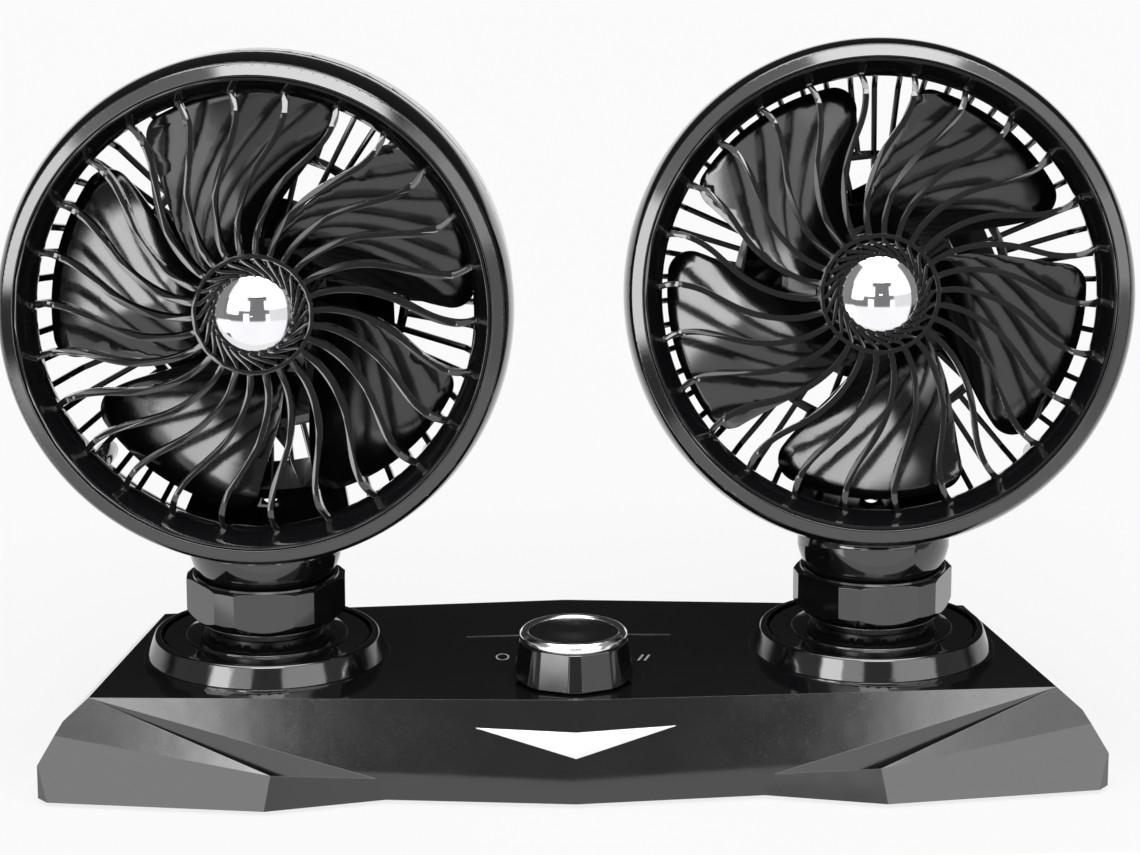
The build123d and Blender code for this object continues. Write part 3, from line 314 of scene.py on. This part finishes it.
@dataclass(frozen=True)
class Finish:
    """What every finish shares: a name and a way to make its material."""

    name: str

    def dress(self, work: NodeWork) -> dict[str, object]:
        """What the shader's sockets hold. Each finish gives its own.

        Args:
            work: the tree to add nodes to.

        Returns:
            Socket name to number, colour or Value.
        """
        return {}

    def material(self) -> bpy.types.Material:
        """The finish's material, made once and then shared."""
        made = bpy.data.materials.get(self.name)
        if made:
            return made
        made = bpy.data.materials.new(self.name)
        made.use_nodes = True
        work = NodeWork(made.node_tree)
        shader = work.node("ShaderNodeBsdfPrincipled", inputs=self.dress(work))
        work.node("ShaderNodeOutputMaterial", inputs={"Surface": shader.outputs[0]})
        return made


@dataclass(frozen=True)
class MouldedPlastic(Finish):
    """Moulded plastic, from gloss to matt: mottled sheen, faint waviness, a fine grain, a little dust."""

    colour: Triple = (0.002, 0.002, 0.0024)
    worn: Triple = (0.0045, 0.0045, 0.005)
    sheen: Limits = (0.05, 0.11)
    shine: float = 1.0
    refraction: float = 1.5
    mottle: float = 14 * MM
    mottle_wear: float = 0.5
    dust: float = 0.35 * MM
    dust_start: float = 0.56
    dust_gain: float = 3.0
    dust_matt: float = 0.12
    wave: float = 9 * MM
    wave_depth: float = 0.012 * MM
    grain: float = 0.5 * MM
    grain_depth: float = 0.0012 * MM

    def dress(self, work: NodeWork) -> dict[str, object]:
        """Nodes of the plastic."""
        place = work.place()
        mottle = work.noise(place, self.mottle, detail=4.0)
        dust = (work.noise(place, self.dust, detail=2.0) - self.dust_start).clipped() * self.dust_gain
        waves = work.noise(place, self.wave, detail=1.0) * (self.wave_depth / self.grain_depth)
        grain = work.noise(place, self.grain, detail=2.0)
        return {
            "Base Color": work.blend((mottle * self.mottle_wear + dust).clipped(), self.colour, self.worn),
            "Roughness": work.spread(mottle, self.sheen) + dust * self.dust_matt,
            "IOR": self.refraction, "Specular IOR Level": self.shine,
            "Normal": work.bump(waves + grain, self.grain_depth),
        }


@dataclass(frozen=True)
class PlatedMetal(Finish):
    """Bright plating: mirror-like, with faint waves and wiped streaks."""

    colour: Triple = (0.86, 0.86, 0.88)
    shade: Triple = (0.74, 0.74, 0.77)
    sheen: Limits = (0.03, 0.1)
    mottle: float = 6 * MM
    wave: float = 9 * MM
    wave_depth: float = 0.006 * MM

    def dress(self, work: NodeWork) -> dict[str, object]:
        """Nodes of the plating."""
        place = work.place()
        mottle = work.noise(place, self.mottle, detail=5.0)
        return {
            "Base Color": work.blend(mottle, self.shade, self.colour), "Metallic": 1.0,
            "Roughness": work.spread(mottle, self.sheen),
            "Normal": work.bump(work.noise(place, self.wave, detail=1.0), self.wave_depth),
        }


@dataclass(frozen=True)
class SpunMetal(Finish):
    """Metal turned on a lathe: fine rings about an upright axis, in light and dark."""

    centre: Triple = (0.0, 0.0, 0.0)
    in_plan: Triple = (1.0, 1.0, 0.0)
    colour: Triple = (0.055, 0.055, 0.058)
    shade: Triple = (0.012, 0.012, 0.013)
    metal: float = 0.9
    sheen: Limits = (0.2, 0.36)
    pitch: float = 0.9 * MM
    ring_share: float = 0.4
    ring_depth: float = 0.01 * MM
    drift: float = 3.6 * MM

    def dress(self, work: NodeWork) -> dict[str, object]:
        """Nodes of the turned rings."""
        point = work.vector_of(VectorOperation.SUBTRACT, work.place(), self.centre)
        flat = work.vector_of(VectorOperation.MULTIPLY, point, self.in_plan)
        radius = work.vector_of(VectorOperation.LENGTH, flat)
        ring = work.sum_of(Operation.SINE, radius * (tau / self.pitch)) * 0.5 + 0.5
        drift = work.value("ShaderNodeTexNoise", {"noise_dimensions": "1D"},
                           {"W": radius, "Scale": 1.0 / self.drift, "Detail": 3.0}, "Fac")
        mix = (ring * self.ring_share + drift * (1.0 - self.ring_share)).clipped()
        return {
            "Base Color": work.blend(mix, self.shade, self.colour), "Metallic": self.metal,
            "Roughness": work.spread(drift, self.sheen),
            "Normal": work.bump(ring, self.ring_depth),
        }


@dataclass(frozen=True)
class DrawnMetal(Finish):
    """Plain steel, aluminium or zinc: fine lines one way and a soft cloud of tone."""

    colour: Triple = (0.62, 0.62, 0.63)
    shade: Triple = (0.42, 0.42, 0.44)
    sheen: Limits = (0.22, 0.42)
    stretch: Triple = (0.06, 1.0, 1.0)
    line: float = 0.35 * MM
    line_share: float = 0.6
    line_depth: float = 0.004 * MM
    cloud: float = 10.5 * MM

    def dress(self, work: NodeWork) -> dict[str, object]:
        """Nodes of the drawn lines."""
        place = work.place()
        lines = work.noise(work.vector_of(VectorOperation.MULTIPLY, place, self.stretch), self.line)
        cloud = work.noise(place, self.cloud, detail=2.0)
        mix = (lines * self.line_share + cloud * (1.0 - self.line_share)).clipped()
        return {
            "Base Color": work.blend(mix, self.shade, self.colour), "Metallic": 1.0,
            "Roughness": work.spread(mix, self.sheen),
            "Normal": work.bump(lines, self.line_depth),
        }


@dataclass(frozen=True)
class SoftRubber(Finish):
    """Matt rubber with a fine pebble."""

    colour: Triple = (0.018, 0.018, 0.018)
    worn: Triple = (0.05, 0.05, 0.05)
    sheen: Limits = (0.6, 0.85)
    pebble: float = 0.6 * MM
    pebble_depth: float = 0.03 * MM
    cloud: float = 12 * MM

    def dress(self, work: NodeWork) -> dict[str, object]:
        """Nodes of the pebble."""
        place = work.place()
        pebble = work.noise(place, self.pebble)
        return {
            "Base Color": work.blend(work.noise(place, self.cloud), self.colour, self.worn),
            "Roughness": work.spread(pebble, self.sheen),
            "Normal": work.bump(pebble, self.pebble_depth),
        }


@dataclass(frozen=True)
class CoatedBoard(Finish):
    """Circuit board laminate: a green coat with paler raised tracks."""

    colour: Triple = (0.012, 0.1, 0.035)
    track: Triple = (0.03, 0.2, 0.07)
    sheen: Limits = (0.32, 0.52)
    cells_per_metre: float = 260.0
    track_half: float = 0.12
    track_gain: float = 10.0
    track_depth: float = 0.03 * MM
    cloud: float = 3 * MM

    def dress(self, work: NodeWork) -> dict[str, object]:
        """Nodes of the tracks."""
        place = work.place()
        cells = work.value("ShaderNodeTexVoronoi", {"feature": "DISTANCE_TO_EDGE"},
                           {"Vector": place, "Scale": self.cells_per_metre})
        tracks = ((self.track_half - cells).clipped() * self.track_gain).clipped()
        return {
            "Base Color": work.blend(tracks, self.colour, self.track),
            "Roughness": work.spread(work.noise(place, self.cloud), self.sheen),
            "Normal": work.bump(tracks, self.track_depth),
        }


@dataclass(frozen=True)
class PrintedMark(Finish):
    """Thin pale ink."""

    colour: Triple = (0.36, 0.36, 0.37)
    shade: Triple = (0.2, 0.2, 0.21)
    sheen: Limits = (0.4, 0.6)
    speck: float = 0.5 * MM

    def dress(self, work: NodeWork) -> dict[str, object]:
        """Nodes of the ink's uneven cover."""
        cover = work.noise(work.place(), self.speck, detail=4.0)
        return {"Base Color": work.blend(cover, self.shade, self.colour),
                "Roughness": work.spread(cover, self.sheen)}


GLOSS = MouldedPlastic("gloss_plastic")
SATIN = MouldedPlastic("satin_plastic", sheen=(0.2, 0.34), grain_depth=0.002 * MM)
BLADE_GLOSS = MouldedPlastic("blade_plastic", sheen=(0.06, 0.11), shine=0.75,
                             wave=16 * MM, wave_depth=0.02 * MM)
GRAINED = MouldedPlastic("grained_plastic", colour=(0.016, 0.016, 0.017), worn=(0.03, 0.03, 0.032),
                         sheen=(0.45, 0.6), shine=0.5, grain=0.7 * MM, grain_depth=0.02 * MM)
NYLON = MouldedPlastic("white_nylon", colour=(0.66, 0.65, 0.61), worn=(0.56, 0.55, 0.5),
                       sheen=(0.35, 0.5), shine=0.5)
CHROME = PlatedMetal("chrome_plate")
RING_CHROME = PlatedMetal("ring_plate", colour=(0.95, 0.95, 0.96), shade=(0.85, 0.85, 0.87), sheen=(0.1, 0.2))
STEEL = DrawnMetal("zinc_steel")
MOTOR_STEEL = DrawnMetal("motor_can_steel", colour=(0.55, 0.55, 0.56), shade=(0.4, 0.4, 0.41))
BADGE_METAL = DrawnMetal("badge_metal", colour=(0.95, 0.95, 0.96), shade=(0.86, 0.86, 0.88),
                         sheen=(0.42, 0.55))
RUBBER = SoftRubber("soft_rubber")
BOARD = CoatedBoard("coated_board")
INK = PrintedMark("mark_ink")


def new_piece(name: str, mesh: bpy.types.Mesh, finish: Finish, body: str, slot: str,
              stands_for: tuple[str, ...] = ()) -> bpy.types.Object:
    """Puts a finished mesh into the scene and ties it to its body.

    Args:
        name: the piece's name.
        mesh: its mesh, in the row's frame.
        finish: what it is made of.
        body: the body it rides on.
        slot: the record's material slot; not used.
        stands_for: the nodes that it stands for.

    Returns:
        The piece.
    """
    piece = bpy.data.objects.new(name, mesh)
    bpy.context.scene.collection.objects.link(piece)
    mesh.materials.clear()
    mesh.materials.append(finish.material())
    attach(piece, body)
    if stands_for:
        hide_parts(*stands_for)
    LOG.info("piece %s: %d faces on %s", name, len(mesh.polygons), body)
    return piece


def mesh_of(name: str, points: list[Vector], faces: Faces, crease: float = 32.0) -> bpy.types.Mesh:
    """A smooth-shaded mesh whose sharp edges stay sharp.

    Args:
        name: the mesh's name.
        points: its vertices.
        faces: its faces.
        crease: edges that turn more than this many degrees stay sharp.

    Returns:
        The mesh.
    """
    mesh = bpy.data.meshes.new(name)
    mesh.from_pydata(points, [], faces)
    work = bmesh.new()
    work.from_mesh(mesh)
    bmesh.ops.recalc_face_normals(work, faces=work.faces)
    work.to_mesh(mesh)
    work.free()
    mesh.shade_smooth()
    mesh.set_sharp_from_angle(angle=radians(crease))
    return mesh


def slot_of(node: str) -> str:
    """The record's material slot of a node."""
    for row in frame["record"]["subparts"]:
        if row["node"] == node:
            return row["material_slot"]
    raise KeyError(node)


@dataclass
class SoftenedNode:
    """A CAD node's shape with its edges rounded, as a moulding or turned piece has them.

    The radius is in millimetres. Edges that turn more than the crease, in degrees, are rounded.
    Faces within the flat angle of each other are joined first. With facets on, flat faces keep
    their own shading up to the rounded edge.
    """

    node: str
    radius: float
    segments: int = 3
    crease: float = 30.0
    flat: float = 0.4
    facets: bool = False
    weld: float = 0.002 * MM
    sharp_margin: float = 5.0
    face_weight: int = 50

    def mesh(self) -> bpy.types.Mesh:
        """The node's mesh with flat faces joined and edges rounded."""
        holder = bpy.data.objects.new(self.node + "_holder", self._joined())
        bpy.context.scene.collection.objects.link(holder)
        bevel = holder.modifiers.new("round", "BEVEL")
        bevel.width = self.radius * MM
        bevel.segments = self.segments
        bevel.limit_method = "ANGLE"
        bevel.angle_limit = radians(self.crease)
        bevel.use_clamp_overlap = True
        bevel.miter_outer = "MITER_ARC"
        if self.facets:
            even = holder.modifiers.new("even", "WEIGHTED_NORMAL")
            even.mode = "FACE_AREA"
            even.weight = self.face_weight
        graph = bpy.context.evaluated_depsgraph_get()
        rounded = bpy.data.meshes.new_from_object(holder.evaluated_get(graph))
        bpy.data.objects.remove(holder)
        rounded.name = self.node + "_rounded"
        if not self.facets:
            rounded.shade_smooth()
            rounded.set_sharp_from_angle(angle=radians(self.crease + self.sharp_margin))
        return rounded

    def _joined(self) -> bpy.types.Mesh:
        """A copy of the node's mesh, with triangles of one flat face joined."""
        work = bmesh.new()
        work.from_mesh(frame["nodes"][self.node].data)
        bmesh.ops.remove_doubles(work, verts=work.verts, dist=self.weld)
        bmesh.ops.dissolve_limit(work, angle_limit=radians(self.flat), verts=work.verts, edges=work.edges)
        points = [v.co.copy() for v in work.verts]
        work.verts.index_update()
        faces = [tuple(v.index for v in f.verts) for f in work.faces]
        work.free()
        mesh = bpy.data.meshes.new(self.node + "_soft")
        mesh.from_pydata(points, [], faces)
        mesh.shade_smooth()
        return mesh


@dataclass
class Camera:
    """The photograph's viewpoint, from a fit of the base's corners and the heads' rims."""

    height: float = 389 * MM
    distance: float = 1090 * MM
    yaw: float = 2.0
    pitch: float = 15.4
    focal_px: float = 4312.0
    image_width_px: float = 1140.0
    sensor: float = 36.0
    aim_y: float = 2.5 * MM
    nearest: float = 10 * MM
    farthest: float = 20.0

    def build(self) -> None:
        """Places the camera."""
        camera = bpy.data.cameras.new("photo_camera")
        camera.sensor_width = self.sensor
        camera.lens = self.focal_px / self.image_width_px * self.sensor
        camera.clip_start = self.nearest
        camera.clip_end = self.farthest
        holder = bpy.data.objects.new("photo_camera", camera)
        turn = radians(self.yaw)
        holder.location = (-self.distance * sin(turn), self.aim_y - self.distance * cos(turn), self.height)
        holder.rotation_euler = (radians(90 - self.pitch), 0.0, -turn)
        bpy.context.scene.collection.objects.link(holder)
        bpy.context.scene.camera = holder
        LOG.info("camera in place")


@dataclass(frozen=True)
class Panel:
    """A soft light panel of the room, by azimuth from the front and by elevation, in degrees."""

    name: str
    azimuth: Limits
    elevation: Limits
    strength: float
    edge: float = 8.0
    both_sides: bool = False


@dataclass
class Studio:
    """A white floor in a dim room with soft panels all round, white to the camera."""

    floor_half: float = 3.0
    floor_front: float = 0.08
    floor_glow: float = 0.82
    floor_white: float = 0.4
    room: float = 0.03
    panels: tuple[Panel, ...] = (
        Panel("ceiling", (-9.0, 112.0), (60.0, 120.0), 6.0, 10.0, True),
        Panel("front_ceiling", (-18.5, 22.0), (33.0, 60.0), 8.5, 3.0),
        Panel("ceiling_left", (-60.0, -18.0), (24.0, 60.0), 1.2, 5.0),
        Panel("ceiling_right", (22.0, 60.0), (24.0, 60.0), 1.7, 5.0),
        Panel("back_ceiling", (112.0, 200.0), (62.0, 120.0), 2.0, 12.0, True),
        Panel("backdrop", (100.0, 200.0), (-120.0, 3.0), 1.0, 6.0, True),
        Panel("side_walls", (60.0, 100.0), (-14.0, 60.0), 0.25, 10.0, True),
        Panel("front_floor", (-9.0, 60.0), (-120.0, -14.0), 1.15, 4.0, True),
        Panel("floor_left", (-80.0, -52.0), (-34.0, -14.0), 2.2, 6.0),
        Panel("front_wall", (-9.0, 60.0), (-14.0, 30.0), 0.2, 4.0, True),
        Panel("left_strip", (-24.0, -14.4), (-15.0, 0.0), 4.6, 1.4),
        Panel("right_strip", (18.2, 24.0), (-15.0, -1.0), 4.4, 1.4),
        Panel("left_low", (-36.0, -13.0), (6.0, 24.0), 2.2, 4.0),
        Panel("right_low", (16.0, 60.0), (8.0, 24.0), 2.3, 4.0),
        Panel("left_box", (-56.0, -35.0), (-1.0, 24.0), 7.0, 4.0),
        Panel("right_side", (24.0, 60.0), (-14.0, 8.0), 0.7, 4.0),
    )

    def build(self) -> None:
        """Builds the room and the floor."""
        scene = bpy.context.scene
        scene.view_settings.view_transform = "Standard"
        self._world(scene)
        self._floor()
        LOG.info("studio in place with %d panels", len(self.panels))

    def _world(self, scene: bpy.types.Scene) -> None:
        """White for the camera, the room with its panels for everything else.

        Args:
            scene: the scene that it belongs to.
        """
        world = bpy.data.worlds.new("white_room")
        world.use_nodes = True
        scene.world = world
        work = NodeWork(world.node_tree)
        direction = work.value("ShaderNodeTexCoord", output="Generated")
        split = work.node("ShaderNodeSeparateXYZ", inputs={0: direction})
        x, y, z = (Value(work, axis) for axis in split.outputs)
        azimuth = work.sum_of(Operation.ATAN2, x, y * -1.0)
        aside = work.sum_of(Operation.ABSOLUTE, azimuth)
        elevation = work.sum_of(Operation.ASINE, z)
        total: Value | float = self.room
        for panel in self.panels:
            across = work.band(aside if panel.both_sides else azimuth, panel.azimuth, panel.edge)
            total = across * work.band(elevation, panel.elevation, panel.edge) * panel.strength + total
        seen = Value(work, work.node("ShaderNodeLightPath").outputs["Is Camera Ray"])
        strength = total * (1.0 - seen) + seen
        light = work.node("ShaderNodeBackground", inputs={"Color": WHITE, "Strength": strength})
        work.node("ShaderNodeOutputWorld", inputs={"Surface": light.outputs[0]})

    def _floor(self) -> None:
        """A white floor under and behind the object that keeps its shadow."""
        half, front = self.floor_half, self.floor_front
        corners = ((-half, -front), (half, -front), (half, half), (-half, half))
        points = [Vector((x, y, 0.0)) for x, y in corners]
        mesh = bpy.data.meshes.new("floor")
        mesh.from_pydata(points, [], [(0, 1, 2, 3)])
        floor = bpy.data.objects.new("floor", mesh)
        bpy.context.scene.collection.objects.link(floor)
        material = bpy.data.materials.new("white_floor")
        material.use_nodes = True
        work = NodeWork(material.node_tree)
        path = work.node("ShaderNodeLightPath")
        seen = Value(work, path.outputs["Is Camera Ray"])
        mirrored = work.sum_of(Operation.MAXIMUM, Value(work, path.outputs["Is Glossy Ray"]),
                               Value(work, path.outputs["Is Transmission Ray"]))
        share = work.sum_of(Operation.MAXIMUM, seen * self.floor_glow, mirrored)
        paint = work.node("ShaderNodeBsdfDiffuse", inputs={"Color": (*[self.floor_white] * 3, 1.0)})
        glow = work.node("ShaderNodeEmission", inputs={"Color": WHITE, "Strength": 1.0})
        mixed = work.node("ShaderNodeMixShader", inputs={0: share, 1: paint.outputs[0], 2: glow.outputs[0]})
        work.node("ShaderNodeOutputMaterial", inputs={"Surface": mixed.outputs[0]})
        mesh.materials.append(material)


@dataclass
class SubAssembly:
    """CAD nodes that belong together and get their finish, with rounded edges or as they are."""

    side: Side = Side.MIDDLE

    def soften(self, piece: str, finish: Finish, radius: float, **options: float | bool) -> None:
        """Replaces a node with its rounded copy.

        Args:
            piece: the node's name without its side.
            finish: what it is made of.
            radius: how round its edges are, in millimetres.
            options: further sizes of SoftenedNode.
        """
        node = self.side.value + piece
        mesh = SoftenedNode(node, radius, **options).mesh()
        new_piece(node + "_moulded", mesh, finish, frame["nodes"][node]["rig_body"], slot_of(node), (node,))

    def paint(self, piece: str, finish: Finish) -> None:
        """Gives a node its finish and leaves its shape.

        Args:
            piece: the node's name without its side.
            finish: what it is made of.
        """
        node = self.side.value + piece
        mesh = frame["nodes"][node].data
        mesh.materials.clear()
        mesh.materials.append(finish.material())
        LOG.info("node %s painted %s", node, finish.name)


@dataclass
class FanHead(SubAssembly):
    """One head: ring, grille, cap, blades, motor, cage and its neck cup. Edges in millimetres."""

    bezel_edge: float = 0.35
    bezel_crease: float = 20.0
    grille_edge: float = 0.2
    blade_edge: float = 0.5
    cage_edge: float = 0.25
    cover_edge: float = 0.4
    cup_edge: float = 0.25

    def build(self) -> None:
        """Builds and dresses the head's pieces."""
        self.soften("front_bezel", GLOSS, self.bezel_edge, crease=self.bezel_crease, facets=True)
        self.soften("front_grille", GLOSS, self.grille_edge)
        self.paint("hub_cap", CHROME)
        self.soften("impeller", BLADE_GLOSS, self.blade_edge)
        self.paint("motor_can", MOTOR_STEEL)
        self.paint("motor_shaft", STEEL)
        self.soften("rear_cage", GLOSS, self.cage_edge)
        self.soften("motor_cover", GLOSS, self.cover_edge)
        self.soften("neck_cup", GLOSS, self.cup_edge, facets=True)
        for screws in ("cover_screws", "head_screws", "cup_screws"):
            self.paint(screws, STEEL)


@dataclass
class Neck(SubAssembly):
    """What stands between the base and one head. Edges in millimetres."""

    nut_edge: float = 0.35
    nut_crease: float = 18.0
    post_edge: float = 0.2
    turntable_edge: float = 0.25
    collar_edge: float = 0.3
    collar_crease: float = 20.0

    def build(self) -> None:
        """Dresses the neck's pieces."""
        self.soften("clamp_nut", GLOSS, self.nut_edge, crease=self.nut_crease, facets=True)
        self.soften("socket_post", SATIN, self.post_edge)
        self.soften("turntable", GLOSS, self.turntable_edge, facets=True)
        self.soften("collar_ring", GLOSS, self.collar_edge, crease=self.collar_crease, facets=True)
        self.paint("pivot_hat", SATIN)
        self.paint("swivel_retainer", SATIN)
        self.paint("swivel_washer", NYLON)
        for piece in ("pivot_stud", "hat_clip", "collar_screws", "retainer_screws"):
            self.paint(piece, STEEL)


@dataclass
class SpeedMarks:
    """The printed ring and the two strokes beside the knob, laid on the shell. In millimetres."""

    off_place: Point = (-18.1, -4.6)
    fast_place: Point = (19.2, -6.3)
    ring_half: Point = (1.8, 2.6)
    ring_line: float = 0.45
    stroke: Point = (0.6, 4.6)
    stroke_gap: float = 1.7
    stroke_lean: float = 18.0
    ink: float = 0.03
    steps: int = 40
    rows: int = 8

    def _ring(self) -> tuple[list[Point], Faces]:
        """An oval ring of quads in the base's plan."""
        points: list[Point] = []
        for step in range(self.steps):
            turn = tau * step / self.steps
            for inset in (0.0, self.ring_line):
                points.append((self.off_place[0] + (self.ring_half[0] - inset) * cos(turn),
                               self.off_place[1] + (self.ring_half[1] - inset) * sin(turn)))
        faces: Faces = []
        for step in range(self.steps):
            here, there = 2 * step, 2 * ((step + 1) % self.steps)
            faces.append((here, there, there + 1, here + 1))
        return points, faces

    def _stroke(self, shift: float) -> tuple[list[Point], Faces]:
        """One leaning stroke as a ladder of quads.

        Args:
            shift: how far it stands from the place's middle.

        Returns:
            Points and faces.
        """
        lean = tan(radians(self.stroke_lean))
        points: list[Point] = []
        for row in range(self.rows + 1):
            along = (row / self.rows - 0.5) * self.stroke[1]
            for across in (-0.5, 0.5):
                points.append((self.fast_place[0] + shift + across * self.stroke[0] + along * lean,
                               self.fast_place[1] + along))
        faces = [(2 * row, 2 * row + 1, 2 * row + 3, 2 * row + 2) for row in range(self.rows)]
        return points, faces

    def build(self) -> None:
        """Lays the marks on the shell and dresses them in ink."""
        shell = frame["nodes"]["base_top_shell"]
        surface = BVHTree.FromPolygons([v.co for v in shell.data.vertices],
                                       [p.vertices[:] for p in shell.data.polygons])
        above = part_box("base_top_shell")[1][2] + self.ring_line
        half = self.stroke_gap / 2
        marks = {"off_mark": [self._ring()], "fast_mark": [self._stroke(-half), self._stroke(half)]}
        for name, parts in marks.items():
            points: list[Vector] = []
            faces: Faces = []
            for outline, quads in parts:
                first = len(points)
                for x, y in outline:
                    spot = surface.ray_cast(Vector((x * MM, y * MM, above)), DOWN)[0]
                    points.append(spot - DOWN * self.ink * MM)
                faces += [tuple(first + corner for corner in quad) for quad in quads]
            new_piece(name, mesh_of(name, points, faces), INK, shell["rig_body"], "badge_silver")


@dataclass
class Base(SubAssembly):
    """The faceted base with its badge, plate, feet and inlet. Edges in millimetres."""

    shell_edge: float = 0.35
    shell_crease: float = 3.0
    plate_edge: float = 0.2
    foot_edge: float = 0.3
    badge_edge: float = 0.12
    grommet_edge: float = 0.2

    def build(self) -> None:
        """Dresses the base's pieces and lays on its marks."""
        self.soften("base_top_shell", GLOSS, self.shell_edge, crease=self.shell_crease, facets=True)
        self.soften("base_bottom_plate", GRAINED, self.plate_edge)
        self.soften("rubber_feet", RUBBER, self.foot_edge)
        self.soften("front_badge", BADGE_METAL, self.badge_edge)
        self.soften("cable_grommet", RUBBER, self.grommet_edge)
        self.paint("rotary_switch", GRAINED)
        self.paint("circuit_board", BOARD)
        for piece in ("bottom_screws", "switch_nut", "board_screws"):
            self.paint(piece, STEEL)
        SpeedMarks().build()


@dataclass
class Knob(SubAssembly):
    """The speed knob with its bright ring and spun top. Edges in millimetres."""

    body_edge: float = 0.4
    body_crease: float = 14.0
    ring_edge: float = 0.7
    ring_segments: int = 6

    def build(self) -> None:
        """Dresses the knob's pieces."""
        low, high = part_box("knob_disc")
        spun_top = SpunMetal("spun_top", centre=tuple((low + high) / 2))
        self.soften("knob_body", GLOSS, self.body_edge, crease=self.body_crease, facets=True)
        self.soften("knob_ring", RING_CHROME, self.ring_edge, segments=self.ring_segments)
        self.paint("knob_disc", spun_top)
        self.paint("switch_shaft", SATIN)


def main() -> None:
    """Builds the scene piece by piece."""
    logging.basicConfig(level=logging.INFO, format="%(name)s: %(message)s")
    Camera().build()
    Studio().build()
    Base().build()
    Knob().build()
    for side in (Side.LEFT, Side.RIGHT):
        Neck(side).build()
        FanHead(side).build()


if __name__ == "__main__":
    main()
